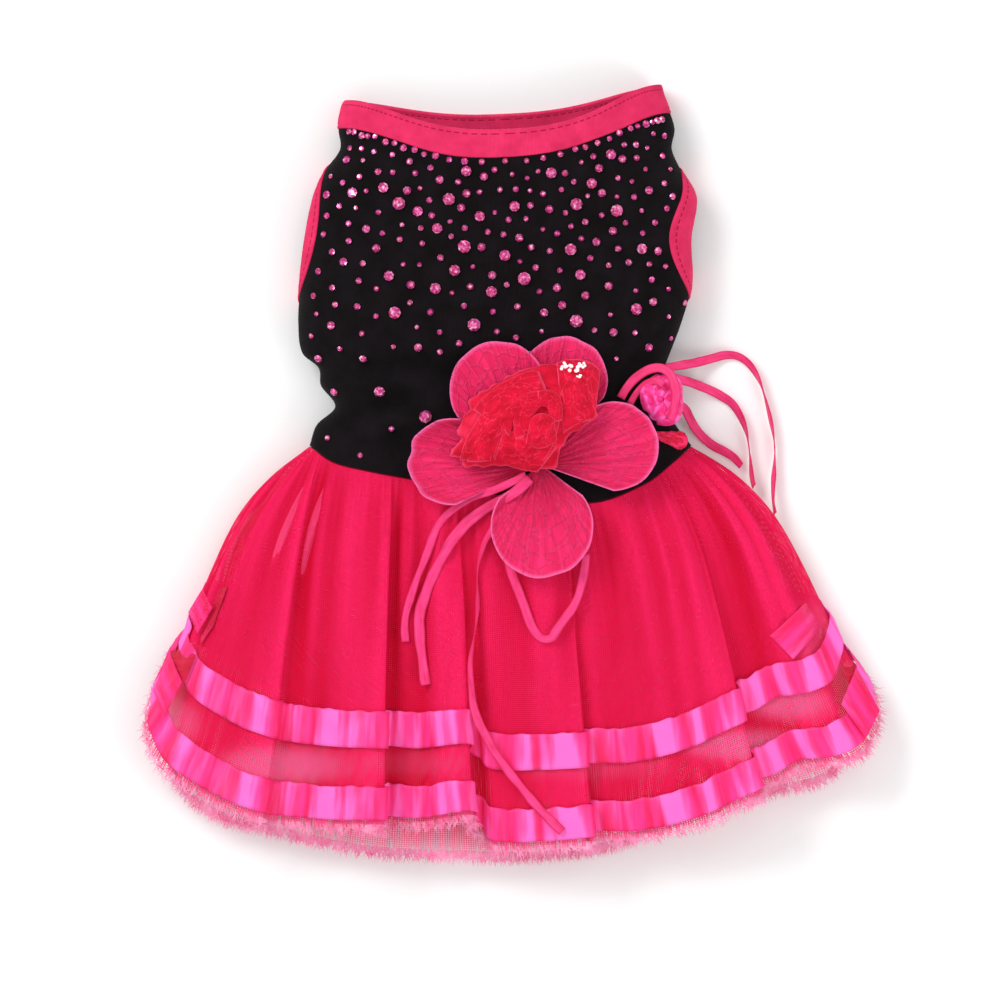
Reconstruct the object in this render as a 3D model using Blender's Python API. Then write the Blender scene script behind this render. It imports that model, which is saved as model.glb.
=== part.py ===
"""Dog dress with a knit bodice, a gathered mesh skirt and a cloth flower.

It lies on its belly side with the decorated back up: +X to the right, +Y to the
neck, +Z up from the surface. Lengths are metres.
"""
import math
from math import cos, pi, radians, sin

import bmesh
import bpy
from mathutils import Matrix, Vector

MM = 0.001

# Cloth thicknesses and clearances
KNIT_WALL = 1.2 * MM
BINDING_WALL = 1.8 * MM
MESH_WALL = 1.0 * MM
SATIN_WALL = 1.0 * MM
PETAL_WALL = 1.0 * MM
ORGANZA_WALL = 1.0 * MM
SEAM_GAP = 0.45 * MM
ARMHOLE_GAP = 0.8 * MM
LAYER_GAP = 0.4 * MM

# Bodice
NECK_Y = 144.1 * MM
BODICE_LENGTH = 134.5 * MM
WAIST_Y = NECK_Y - BODICE_LENGTH
CHEST_HALF = 73.0 * MM
BODICE_HEIGHT = 30.0 * MM
SIDE_HEIGHT = 9.0 * MM
NECK_SLOPE = 3.0 * MM
NECK_DIP_BACK = 14.5 * MM
NECK_DIP_BELLY = 7.6 * MM
NECK_DIP_POWER = 4
NECK_BAND = 9.5 * MM
WAIST_DROP = 21.6 * MM
WAIST_DROP_BELLY = 3.0 * MM
ARMHOLE_BAND = 9.0 * MM
ARMHOLE_TIGHTEN = 0.75
ACROSS_POWER = 0.8
DOME_POWER = 0.85
BELLY_FLAT = 0.55
CUTTER_REACH = 2.5 * KNIT_WALL

# Skirt and its ribbons
SKIRT_LENGTH = 156.5 * MM
HEM_HALF = 139.5 * MM
FOLD_HEIGHT = 28.0 * MM
UNDERSKIRT_HEM_HEIGHT = 10.5 * MM
SKIRT_REST = SATIN_WALL + LAYER_GAP
SKIRT_REST_REACH = 0.08
SKIRT_RISE_POWER = 0.7

# Flower and trimmings, placed from the waist
FLOWER_CENTRE = (10.3 * MM, WAIST_Y - 7.4 * MM)
FLOWER_FOOT = 32.0 * MM
PETAL_RIDGE = 0.25 * MM
PETAL_CUP = 0.4 * MM
PETAL_STEP = PETAL_WALL + LAYER_GAP + PETAL_CUP
ROSE_CENTRE = (6.6 * MM, WAIST_Y + 11.3 * MM)
ROSE_REACH = 32.0 * MM
ROSE_HEIGHT = 8.0 * MM
ROSE_LIFT = 2.6 * MM
ROSE_NEST = 0.90
ROSE_DOME_POWERS = (2.4, 0.6)
ROSE_RUFFLE = 0.05
BUD_CENTRE = (56.5 * MM, WAIST_Y + 17.4 * MM)
BUD_HALF = (7.0 * MM, 9.5 * MM, 6.0 * MM)
BUD_FOLD = 0.06
BUD_FOLDS = 3
BUD_TWIST = 4.0
LEAF_ROOT = (51.0 * MM, WAIST_Y + 4.9 * MM)
LEAF_AIM = -14.0
LEAF_REACH = 16.0 * MM
LEAF_WIDTH = 7.0 * MM
RIBBON_WIDTH = 3.6 * MM
RIBBON_WALL = 1.0 * MM
RIBBON_STEP = 6.0 * MM
STONE_SEAT = 0.5 * MM
STONE_SIZE = 5.0 * MM

# Columns of facets
COLUMNS_PER_FOLD = 2
BODICE_COLUMNS = 40
PETAL_COLUMNS = 6
LEAF_COLUMNS = 4
ROSE_COLUMNS = 16
ARMHOLE_COLUMNS = 26
BUD_COLUMNS = 14
BUD_RINGS = 8

# Bodice sections: down is a share of BODICE_LENGTH, left and right of
# CHEST_HALF, height of BODICE_HEIGHT
BODICE_SECTIONS = [
    # down, left, right, height
    (0.00, 0.873, 0.781, 0.80),
    (0.10, 0.908, 0.846, 0.86),
    (0.16, 0.900, 0.832, 0.90),
    (0.22, 0.975, 0.880, 0.94),
    (0.30, 1.038, 0.958, 0.97),
    (0.42, 1.084, 0.940, 1.00),
    (0.56, 1.110, 0.928, 1.00),
    (0.66, 1.118, 0.877, 0.98),
    (0.74, 1.095, 0.821, 0.94),
    (0.78, 1.012, 0.795, 0.89),
    (0.83, 1.000, 0.793, 0.92),
    (0.89, 0.925, 0.800, 0.90),
    (0.94, 1.020, 0.850, 0.91),
    (1.00, 1.059, 0.934, 0.88),
]

# Shares of the way from the neck seam to the waist seam, closer at the rumpled waist
BODICE_ROWS = [
    0.0, 0.09, 0.16, 0.23, 0.32, 0.44, 0.56, 0.67,
    0.74, 0.78, 0.82, 0.86, 0.89, 0.925, 0.96, 1.0,
]

# Waist seam on the back: across is a share of the half width there, drop of WAIST_DROP
WAIST_SEAM = [
    # across, drop
    (-1.00, 0.00),
    (-0.88, 0.28),
    (-0.70, 0.44),
    (-0.45, 0.60),
    (0.00, 0.88),
    (0.48, 1.00),
    (0.76, 0.66),
    (0.90, 0.30),
    (1.00, 0.00),
]

# Creases in the knit: across of CHEST_HALF, down and both sizes of
# BODICE_LENGTH, depth of BODICE_HEIGHT, slant in degrees
CREASES = [
    # across, down, half_length, half_width, depth, slant
    (-0.75, 0.765, 0.30, 0.035, 0.10, -10),
    (-0.62, 0.890, 0.22, 0.040, 0.08, 24),
    (-0.10, 0.800, 0.26, 0.050, 0.04, 12),
    (-0.52, 0.300, 0.30, 0.050, 0.04, 68),
    (0.52, 0.420, 0.28, 0.050, 0.04, -62),
    (0.30, 0.700, 0.26, 0.045, 0.04, -35),
]

# Leg holes: turn and half_turn in degrees round the body, down and half_length
# of BODICE_LENGTH
ARMHOLES = [
    # name, turn, half_turn, down, half_length
    ("left", -14.0, 34.0, 0.400, 0.196),
    ("right", 192.0, 42.0, 0.400, 0.184),
]

# Skirt folds from the left side over the back: turn in degrees round the waist,
# across of HEM_HALF, down of SKIRT_LENGTH, lift of FOLD_HEIGHT
SKIRT_FOLDS = [
    # turn, across, down, lift
    (-16.0, -0.918, 0.495, 0.20),
    (-3.0, -1.000, 0.653, 0.42),
    (7.0, -0.962, 0.782, 0.52),
    (14.0, -0.809, 0.874, 0.62),
    (22.0, -0.684, 0.913, 0.82),
    (28.0, -0.635, 0.922, 0.57),
    (44.0, -0.499, 0.930, 0.74),
    (59.0, -0.371, 0.930, 0.96),
    (64.0, -0.322, 0.922, 0.50),
    (70.0, -0.253, 0.927, 0.60),
    (80.0, -0.109, 0.905, 0.93),
    (84.0, -0.079, 0.951, 0.54),
    (87.5, -0.041, 0.983, 0.66),
    (94.0, 0.087, 0.981, 0.76),
    (102.0, 0.212, 0.973, 0.86),
    (105.5, 0.248, 0.956, 0.57),
    (115.0, 0.346, 0.956, 0.68),
    (130.0, 0.510, 0.922, 0.82),
    (144.0, 0.662, 0.864, 1.00),
    (150.0, 0.717, 0.825, 0.50),
    (156.0, 0.796, 0.782, 0.60),
    (163.0, 0.894, 0.772, 0.78),
    (172.0, 0.967, 0.735, 0.60),
    (181.0, 1.000, 0.653, 0.42),
    (194.0, 0.951, 0.549, 0.24),
    (212.0, 0.782, 0.539, 0.0),
    (240.0, 0.455, 0.665, 0.0),
    (270.0, 0.000, 0.726, 0.0),
    (300.0, -0.470, 0.665, 0.0),
    (328.0, -0.785, 0.539, 0.0),
]

# Underskirt hem, columns as in SKIRT_FOLDS, lift of UNDERSKIRT_HEM_HEIGHT
UNDERSKIRT_HEM = [
    # turn, across, down, lift
    (-12.0, -0.835, 0.520, 0.55),
    (4.0, -0.925, 0.780, 0.85),
    (24.0, -0.809, 0.898, 1.0),
    (44.0, -0.600, 0.949, 1.0),
    (62.0, -0.381, 0.988, 1.0),
    (78.0, -0.158, 0.998, 1.0),
    (94.0, 0.046, 1.000, 1.0),
    (110.0, 0.251, 0.978, 1.0),
    (132.0, 0.455, 0.912, 1.0),
    (152.0, 0.687, 0.847, 1.0),
    (172.0, 0.885, 0.782, 0.85),
    (190.0, 0.850, 0.560, 0.55),
    (218.0, 0.660, 0.471, 0.0),
    (270.0, 0.000, 0.617, 0.0),
    (322.0, -0.670, 0.471, 0.0),
]

# How the skirt spreads from the waist: the share of the way to the hem
SPREAD = [
    # along, across, down
    (0.00, 0.000, 0.000),
    (0.15, 0.240, 0.130),
    (0.30, 0.420, 0.270),
    (0.50, 0.585, 0.470),
    (0.72, 0.745, 0.700),
    (0.87, 0.865, 0.865),
    (1.00, 1.000, 1.000),
]
BAND_UPPER = (0.690, 0.785)
BAND_LOWER = (0.885, 0.975)
SKIRT_ROWS = [0.0, 0.08, 0.22, 0.40, 0.56, *BAND_UPPER, *BAND_LOWER, 1.0]
UNDERSKIRT_ROWS = [0.0, 0.08, 0.22, 0.5, 0.8, 1.0]

# Petals: aim in degrees from +X, sizes in metres, layer 0 lies lowest
PETALS = [
    # name, aim, reach, width, layer, tip_lift
    ("petal_top_left", 119.0, 51 * MM, 37 * MM, 1, 1.6 * MM),
    ("petal_top_right", 74.0, 50 * MM, 33 * MM, 0, 0.6 * MM),
    ("petal_left", 178.0, 50 * MM, 33 * MM, 0, 2.5 * MM),
    ("petal_right", 14.0, 46 * MM, 34 * MM, 1, 0.6 * MM),
    ("petal_bottom", 272.0, 43 * MM, 39 * MM, 0, 3.0 * MM),
]
PETAL_ROOT = 4.0 * MM
PETAL_SPREAD = 0.94
PETAL_RIDGES = 4
PETAL_ROWS = [0.0, 0.15, 0.3, 0.45, 0.6, 0.75, 0.9, 1.0]

# Outline of the rose: turn in degrees from +X, reach of ROSE_REACH
ROSE_OUTLINE = [
    # turn, reach
    (-27, 0.50),
    (-4, 0.74),
    (19, 0.86),
    (33, 0.95),
    (48, 0.84),
    (68, 0.66),
    (92, 0.56),
    (115, 0.53),
    (140, 0.57),
    (165, 0.70),
    (191, 0.84),
    (216, 1.00),
    (232, 0.72),
    (261, 0.61),
    (291, 0.67),
    (312, 0.54),
]
# Nested folds of the rose: shares of the outer outline and of ROSE_HEIGHT
ROSE_LAYERS = [
    # name, scale, height, twist, ruffles
    ("rose_outer", 1.00, 1.00, 0.0, 7),
    ("rose_middle", 0.60, 0.62, 25.0, 5),
    ("rose_heart", 0.30, 0.55, 60.0, 4),
]

# Rings of a rose fold, as shares of its reach, with a small hole in the middle
ROSE_ROWS = [0.08, 0.35, 0.6, 0.8, 0.93, 1.0]

# Rings of a cut stone, as shares of its size
STONE_SIDES = 8
STONE_PROFILE = [
    # radius, height
    (0.50, 0.00),
    (0.50, 0.10),
    (0.29, 0.30),
]

# Largest stones: across of CHEST_HALF, down of BODICE_LENGTH, size of STONE_SIZE
STONES = [
    # across, down, size
    (-0.59, 0.319, 1.00),
    (-0.33, 0.308, 0.95),
    (-0.25, 0.441, 1.00),
    (0.06, 0.531, 1.00),
    (0.33, 0.322, 0.95),
    (0.54, 0.339, 0.95),
    (0.30, 0.449, 0.90),
    (-0.61, 0.627, 0.95),
    (0.64, 0.616, 0.90),
    (-0.45, 0.921, 1.00),
    (-0.67, 0.274, 0.80),
    (-0.49, 0.342, 0.80),
    (-0.39, 0.390, 0.80),
    (-0.17, 0.356, 0.80),
    (0.01, 0.328, 0.80),
    (-0.24, 0.229, 0.80),
    (0.20, 0.234, 0.85),
    (-0.83, 0.288, 0.80),
    (-0.04, 0.466, 0.85),
    (-0.30, 0.508, 0.85),
    (-0.64, 0.523, 0.80),
    (-0.40, 0.559, 0.85),
    (-0.11, 0.568, 0.85),
    (0.51, 0.181, 0.80),
    (0.41, 0.263, 0.80),
    (0.67, 0.446, 0.80),
    (0.35, 0.520, 0.80),
    (-0.69, 0.847, 0.85),
]
# Stones over the flower's tips: across of CHEST_HALF, up from the waist
FLOWER_STONES = [
    # across, up, size
    (-0.20, 45.6 * MM, 1.00),
    (0.33, 47.2 * MM, 1.00),
]

# Narrow ribbons. Each route is a list of points chosen by hand, in millimetres
# from the waist, with the tilt of the strip in degrees: 0 lies flat, 90 on edge
ROUTES = {
    "ribbon_loop_outer": [
        (58.5, 29.6, 14.0, 0), (62, 30.2, 12.0, 0), (66, 30.9, 8.5, 0), (70.5, 31.8, 5.0, 5),
        (76, 33.2, 2.8, 10), (81.5, 34.6, 2.0, 20), (86.5, 34, 2.3, 40), (91, 30.4, 2.5, 60),
        (94.5, 24.4, 2.6, 70), (97, 16.4, 2.6, 75), (99, 7.9, 2.6, 80), (100.2, -0.6, 2.6, 80),
        (100, -8.6, 2.6, 80), (99.6, -15.6, 3.2, 75), (99.6, -21.6, 5.0, 70), (100.2, -26.1, 7.0, 65),
    ],
    "ribbon_loop_middle": [
        (58.5, 26.2, 11.4, 0), (61.6, 25.8, 12.0, 0), (65, 24.8, 11.2, 0), (67.5, 24.2, 9.0, 0),
        (71, 23, 5.0, 0), (75, 21.4, 2.8, 0), (79.2, 19.3, 2.0, 10), (83.8, 16.2, 2.2, 30),
        (87.2, 10.9, 2.5, 60), (89.3, 5.4, 2.6, 75), (90.4, -0.6, 2.6, 80), (91, -6.6, 2.6, 80),
        (91.4, -11.6, 3.2, 75), (92.2, -15.6, 5.0, 70),
    ],
    "ribbon_loop_inner": [
        (58.9, 16.4, 9.0, 0), (62.4, 16, 9.6, 0), (65.6, 14, 9.0, 0), (67.4, 10.9, 7.0, 0),
        (69.6, 7, 4.5, 0), (73.2, 2.8, 2.6, 5), (77, -0.2, 2.0, 10), (81, -2.2, 2.0, 20),
        (84.6, -4.6, 2.4, 40), (87.4, -7.8, 3.4, 60),
    ],
    "ribbon_streamer_wide": [
        (-6.4, -21.5, 27.5, 0), (-9.5, -23.6, 27.2, 0), (-13, -26, 27.1, 0), (-17.7, -29.7, 27.2, 0),
        (-21, -33.6, 27.5, 0), (-23.4, -36.6, 27.8, 0), (-26.2, -41.6, 27.2, 0), (-28.8, -46.6, 26.3, 0),
        (-31.2, -51.6, 25.2, 0), (-33.2, -57.1, 24.0, 0), (-34.9, -62.1, 22.9, 0), (-35.5, -66.6, 22.1, 0),
        (-35.3, -70.6, 21.9, 0), (-35.1, -74.6, 21.9, 0), (-34.5, -79.1, 22.0, 0), (-33.9, -84.1, 22.0, 0),
        (-32.9, -90.9, 22.2, 0),
    ],
    "ribbon_streamer_narrow": [
        (-14, -19, 27.2, 0), (-17.7, -21, 27.0, 0), (-21.5, -23.4, 27.1, 0), (-25.2, -26.6, 27.1, 0),
        (-28.4, -30.6, 26.8, 0), (-30.2, -34.6, 26.4, 0), (-31.9, -39.6, 25.8, 0), (-34.2, -45.6, 24.8, 0),
        (-36.6, -51.6, 23.8, 0), (-38.6, -57.6, 22.6, 0), (-40.4, -63.6, 21.5, 0), (-41, -68.6, 20.8, 0),
        (-40.6, -74.6, 20.6, 0),
    ],
    "ribbon_streamer_long": [
        (-2.9, -25.8, 27.4, 0), (-5, -28.3, 27.4, 0), (-7.6, -31.9, 26.6, 30), (-10.2, -36.1, 26.3, 60),
        (-12, -40.8, 25.9, 75), (-13.2, -46.1, 25.0, 80), (-13.4, -51.6, 24.5, 80),
        (-13.3, -57.1, 24.2, 80), (-13.4, -62.6, 24.0, 80), (-13.9, -68.6, 24.4, 80),
        (-14.8, -74.1, 25.6, 75), (-15.8, -79.9, 26.4, 70), (-16, -85.6, 26.6, 60),
        (-15.6, -91.6, 26.8, 40), (-14.8, -98.9, 27.0, 20), (-12.8, -105.1, 26.8, 10),
        (-9.9, -110.6, 25.2, 5), (-6.8, -116.1, 24.2, 0), (-3.2, -121.4, 23.9, 0), (0.4, -126.1, 23.4, 0),
        (4.2, -130.8, 23.8, 0), (7.8, -135.2, 24.4, 0), (11.6, -139.4, 24.9, 0), (15.2, -143, 25.5, 0),
        (18.8, -146.4, 26.2, 0),
    ],
    "ribbon_v_loop": [
        (-2.2, -39.1, 26.1, 0), (-1.6, -43.6, 25.8, 0), (-0.4, -48.4, 25.6, 0), (1.2, -52.6, 25.5, 0),
        (2.9, -57, 25.4, 0), (4.6, -61.6, 25.3, 0), (6.2, -66.2, 25.2, 0), (8.4, -70.6, 25.2, 0),
        (11.6, -73.4, 25.6, 0), (14.8, -73, 26.1, 0), (17, -69.6, 26.4, 0), (19.8, -65.6, 26.4, 0),
        (22.9, -61.4, 26.3, 0), (25.2, -56.1, 25.8, 0), (26.6, -50.6, 25.4, 0), (27.4, -45.6, 25.2, 0),
        (27.9, -41.1, 25.4, 0),
    ],
    "ribbon_bud_outer": [
        (41, 17.9, 24.4, 0), (42.8, 21, 24.2, 0), (45.2, 24, 24.4, 0), (48.4, 26.8, 25.2, 0),
        (52, 28.8, 26.2, 0), (56, 29.3, 27.6, 0), (59.4, 27.2, 29.2, 0), (61.3, 23, 30.5, 0),
        (61.9, 18, 30.8, 0), (61, 13.2, 30.0, 0), (59.4, 9.4, 28.4, 0),
    ],
    "ribbon_bud_inner": [
        (44.6, 15.8, 23.8, 0), (46.2, 18.6, 24.2, 0), (48.4, 21.4, 25.4, 0), (51.2, 23.6, 27.6, 0),
        (54.4, 24.4, 29.6, 0), (57, 22.8, 30.9, 0),
    ],
}
# Width of each narrow ribbon, as a share of RIBBON_WIDTH
RIBBON_SHARES = {"ribbon_streamer_wide": 1.2, "ribbon_bud_inner": 0.8, "ribbon_streamer_narrow": 0.9}


def mixed(first, second, share):
    """The value a share of the way from first to second."""
    return first + (second - first) * share


def smooth_steps(rows, at, loop=None):
    """Read the columns of a table at a place in its first column, along a smooth curve."""
    count = len(rows)
    if loop:
        start = rows[0][0]
        at = start + (at - start) % loop
    index = 0
    while index < count - 1 and at > rows[index + 1][0]:
        index += 1

    def row(place):
        if loop:
            turns, place = divmod(place, count)
            return (rows[place][0] + turns * loop, *rows[place][1:])
        return rows[min(max(place, 0), count - 1)]

    if not loop:
        index = min(index, count - 2)
    before, low, high, after = (row(index + step) for step in (-1, 0, 1, 2))
    span = high[0] - low[0]
    share = min(max((at - low[0]) / span, 0.0), 1.0)
    values = []
    for column in range(1, len(low)):
        slope_low = slope(before, high, column)
        slope_high = slope(low, after, column)
        values.append(hermite(low[column], high[column], slope_low * span, slope_high * span, share))
    return values


def slope(first, second, column):
    """Rise of one column between two rows, for each unit of the first column."""
    width = second[0] - first[0]
    return (second[column] - first[column]) / width if width else 0.0


def hermite(low, high, low_slope, high_slope, share):
    """Cubic curve between two values with the slopes given at its ends."""
    square, cube = share * share, share ** 3
    return (
        (2 * cube - 3 * square + 1) * low
        + (cube - 2 * square + share) * low_slope
        + (3 * square - 2 * cube) * high
        + (cube - square) * high_slope
    )


def across_share(turn):
    """Sideways place of a turn round the body, from -1 at the left to 1 at the right."""
    side = -cos(radians(turn))
    return math.copysign(abs(side) ** ACROSS_POWER, side)


def turn_at(x, y):
    """Turn round the body of a place on the bodice's back seen from above."""
    left, right, _ = bodice_section(y)
    share = (2 * x - right + left) / (right + left)
    share = min(max(share, -1.0), 1.0)
    return math.degrees(math.acos(-math.copysign(abs(share) ** (1 / ACROSS_POWER), share)))


def bodice_section(y):
    """Left and right reach and height of the bodice at a place along it."""
    left, right, height = smooth_steps(BODICE_SECTIONS, (NECK_Y - y) / BODICE_LENGTH)
    return left * CHEST_HALF, right * CHEST_HALF, height * BODICE_HEIGHT


def crease_depth(x, y):
    """Depth of the knit's creases at a place seen from above."""
    depth = 0.0
    for across, down, half_length, half_width, deep, slant in CREASES:
        run = x - across * CHEST_HALF
        rise = y - (NECK_Y - down * BODICE_LENGTH)
        angle = radians(slant)
        along = (run * cos(angle) + rise * sin(angle)) / (half_length * BODICE_LENGTH)
        over = (rise * cos(angle) - run * sin(angle)) / (half_width * BODICE_LENGTH)
        depth += deep * BODICE_HEIGHT * math.exp(-over * over - 2 * along * along)
    return depth


def body_point(turn, y, inset=0.0):
    """Point on the bodice's outer face, or inset from it towards the middle."""
    left, right, height = bodice_section(y)
    centre, half = (right - left) / 2, (right + left) / 2 - inset
    x = centre + half * across_share(turn)
    rise = sin(radians(turn))
    if rise >= 0:
        top = height - inset
        z = SIDE_HEIGHT + (top - SIDE_HEIGHT) * rise ** DOME_POWER
        z -= crease_depth(x, y) * min(1.0, rise * 2)
    else:
        fall = sin(pi / 2 * min(1.0, -rise / BELLY_FLAT))
        z = SIDE_HEIGHT - (SIDE_HEIGHT - inset) * fall
    return Vector((x, y, z))


def body_normal(turn, y):
    """Outward direction of the bodice's face."""
    step = 0.5 * MM
    round_it = body_point(turn + 0.5, y) - body_point(turn - 0.5, y)
    along = body_point(turn, y + step) - body_point(turn, y - step)
    return round_it.cross(along).normalized()


def neck_edge(turn):
    """Y of the neck's edge at a turn round it."""
    rise = sin(radians(turn))
    dip = NECK_DIP_BACK if rise > 0 else NECK_DIP_BELLY
    return NECK_Y + NECK_SLOPE * across_share(turn) - dip * rise ** NECK_DIP_POWER


def waist_edge(turn):
    """Y of the waist seam at a turn round it."""
    rise = sin(radians(turn))
    if rise < 0:
        return WAIST_Y - WAIST_DROP_BELLY * rise * rise
    return WAIST_Y - WAIST_DROP * smooth_steps(WAIST_SEAM, across_share(turn))[0]


def skirt_point(folds, hem_height, turn, along, inset=0.0):
    """Point on a skirt layer: along runs from 0 at the waist to 1 at the hem."""
    across, down, lift = smooth_steps(folds, turn, 360.0)
    start = body_point(turn, waist_edge(turn) - SEAM_GAP - inset, inset)
    across_spread, down_spread = smooth_steps(SPREAD, along)
    x = mixed(start.x, across * HEM_HALF, across_spread)
    hem_y = WAIST_Y - down * SKIRT_LENGTH
    y = mixed(start.y, hem_y, down_spread)
    z = mixed(start.z, lift * hem_height, along ** SKIRT_RISE_POWER)
    floor = inset + SKIRT_REST * min(1.0, along / SKIRT_REST_REACH)
    return Vector((x, y, max(z, floor)))


def fold_turns(folds, steps):
    """Turns at which the columns of a skirt layer stand, with steps to each fold."""
    turns = []
    for index, fold in enumerate(folds):
        following = folds[(index + 1) % len(folds)][0]
        if following < fold[0]:
            following += 360.0
        turns += [mixed(fold[0], following, step / steps) for step in range(steps)]
    return turns


def finish_material(name, colour, roughness, metallic=0.0):
    """Plain finish with one colour."""
    material = bpy.data.materials.new(name)
    material.use_nodes = True
    shader = material.node_tree.nodes["Principled BSDF"]
    shader.inputs["Base Color"].default_value = (*colour, 1.0)
    shader.inputs["Roughness"].default_value = roughness
    shader.inputs["Metallic"].default_value = metallic
    return material


def add_object(name, mesh, finish):
    """Link a mesh as a named piece with its own material."""
    piece = bpy.data.objects.new(name, mesh)
    bpy.context.scene.collection.objects.link(piece)
    mesh.materials.append(finish_material(name, *finish))
    return piece


def add_sheet(name, rows, wall, finish, loop=True, grow=-1.0):
    """Sheet of cloth through rows of points, given thickness by a Solidify modifier.

    Rows run away from the neck and their points from left to right on the back.
    grow is -1 for thickness under the points and 1 for thickness over them.
    """
    width = len(rows[0])
    points = [point for row in rows for point in row]
    faces = []
    for row in range(len(rows) - 1):
        for column in range(width if loop else width - 1):
            near, far = row * width, (row + 1) * width
            following = (column + 1) % width
            faces.append((near + column, far + column, far + following, near + following))
    mesh = bpy.data.meshes.new(name)
    mesh.from_pydata(points, [], faces)
    mesh.shade_smooth()
    piece = add_object(name, mesh, finish)
    thick = piece.modifiers.new("Thickness", "SOLIDIFY")
    thick.thickness = wall
    thick.offset = grow
    return piece


def armhole_point(hole, angle, reach, lift=0.0, inset=0.0):
    """Point of a leg hole's patch: reach is 1 on the edge, inset runs in from there."""
    _, turn, half_turn, down, half_length = hole
    middle = NECK_Y - down * BODICE_LENGTH
    half_y = half_length * BODICE_LENGTH
    room = (body_point(turn + half_turn, middle) - body_point(turn - half_turn, middle)).length / 2
    place = turn + half_turn * reach * (1 - ARMHOLE_TIGHTEN * inset / room) * cos(angle)
    y = middle + (half_y * reach - inset) * sin(angle)
    return body_point(place, y) + body_normal(place, y) * lift


def add_armhole_cutter(hole, steps=ARMHOLE_COLUMNS):
    """Thick patch that follows the bodice and cuts one leg hole through its wall."""
    reaches = [0.25, 0.5, 0.75, 1.0]
    mesh = bmesh.new()
    layers = []
    for lift in (CUTTER_REACH, -CUTTER_REACH):
        rings = []
        middle = mesh.verts.new(armhole_point(hole, 0.0, 0.0, lift))
        for reach in reaches:
            angles = [2 * pi * step / steps for step in range(steps)]
            rings.append([mesh.verts.new(armhole_point(hole, angle, reach, lift)) for angle in angles])
        for step in range(steps):
            following = (step + 1) % steps
            mesh.faces.new((middle, rings[0][step], rings[0][following]))
            for near, far in zip(rings, rings[1:]):
                mesh.faces.new((near[step], far[step], far[following], near[following]))
        layers.append(rings[-1])
    for step in range(steps):
        following = (step + 1) % steps
        upper, lower = layers
        mesh.faces.new((upper[step], lower[step], lower[following], upper[following]))
    bmesh.ops.recalc_face_normals(mesh, faces=mesh.faces)
    data = bpy.data.meshes.new("armhole_cutter_" + hole[0])
    mesh.to_mesh(data)
    mesh.free()
    cutter = bpy.data.objects.new(data.name, data)
    bpy.context.scene.collection.objects.link(cutter)
    cutter.hide_render = True
    cutter.display_type = "WIRE"
    return cutter


def add_bodice():
    """Knit tube from the neck seam to the waist seam, with both leg holes cut."""
    turns = [360.0 * column / BODICE_COLUMNS for column in range(BODICE_COLUMNS)]
    rows = []
    for down in BODICE_ROWS:
        row = []
        for turn in turns:
            top = neck_edge(turn) - NECK_BAND - SEAM_GAP
            row.append(body_point(turn, mixed(top, waist_edge(turn), down)))
        rows.append(row)
    bodice = add_sheet("bodice", rows, KNIT_WALL, ((0.012, 0.012, 0.016), 0.85))
    for hole in ARMHOLES:
        cut = bodice.modifiers.new("Leg hole " + hole[0], "BOOLEAN")
        cut.object = add_armhole_cutter(hole)


def add_neck_binding():
    """Folded strip round the neck."""
    turns = [360.0 * column / BODICE_COLUMNS for column in range(BODICE_COLUMNS)]
    rows = []
    for share in (0.0, 0.5, 1.0):
        rows.append([body_point(turn, neck_edge(turn) - share * NECK_BAND) for turn in turns])
    add_sheet("neck_binding", rows, BINDING_WALL, ((0.80, 0.03, 0.12), 0.7))


def add_armhole_bindings(steps=ARMHOLE_COLUMNS):
    """Folded strips round the leg holes."""
    for hole in ARMHOLES:
        rows = []
        for share in (0.0, 0.5, 1.0):
            inset = ARMHOLE_GAP + share * ARMHOLE_BAND
            angles = [-2 * pi * step / steps for step in range(steps)]
            rows.append([armhole_point(hole, angle, 1.0, 0.0, inset) for angle in angles])
        add_sheet("armhole_binding_" + hole[0], rows, BINDING_WALL, ((0.80, 0.03, 0.14), 0.7))


def add_skirt():
    """Gathered outer skirt, its two ribbon bands and the underskirt."""
    turns = fold_turns(SKIRT_FOLDS, COLUMNS_PER_FOLD)

    def outer_row(along):
        return [skirt_point(SKIRT_FOLDS, FOLD_HEIGHT, turn, along) for turn in turns]

    pink = ((0.95, 0.02, 0.13), 0.8)
    skirt = add_sheet("skirt_outer", [outer_row(along) for along in SKIRT_ROWS], MESH_WALL, pink)
    normals = [vertex.normal.copy() for vertex in skirt.data.vertices]
    width = len(turns)
    for name, band in (("ribbon_band_upper", BAND_UPPER), ("ribbon_band_lower", BAND_LOWER)):
        rows = []
        for along in band:
            first = SKIRT_ROWS.index(along) * width
            row = outer_row(along)
            rows.append([point + normals[first + column] * LAYER_GAP for column, point in enumerate(row)])
        add_sheet(name, rows, SATIN_WALL, ((0.95, 0.05, 0.30), 0.35), grow=1.0)

    inset = MESH_WALL + LAYER_GAP
    under_turns = fold_turns(UNDERSKIRT_HEM, COLUMNS_PER_FOLD)
    rows = []
    for along in UNDERSKIRT_ROWS:
        rows.append([
            skirt_point(UNDERSKIRT_HEM, UNDERSKIRT_HEM_HEIGHT, turn, along, inset)
            for turn in under_turns
        ])
    add_sheet("underskirt", rows, MESH_WALL, ((0.9, 0.08, 0.2), 0.8))


def flower_seat():
    """Height of the lowest petals, clear of the knit round their roots."""
    highest = 0.0
    for share in (0.0, 0.5, 1.0):
        for aim in range(0, 360, 30):
            x = FLOWER_CENTRE[0] + share * FLOWER_FOOT * cos(radians(aim))
            y = FLOWER_CENTRE[1] + share * FLOWER_FOOT * sin(radians(aim))
            highest = max(highest, cloth_top(x, y))
    return highest + PETAL_RIDGE + LAYER_GAP


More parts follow.
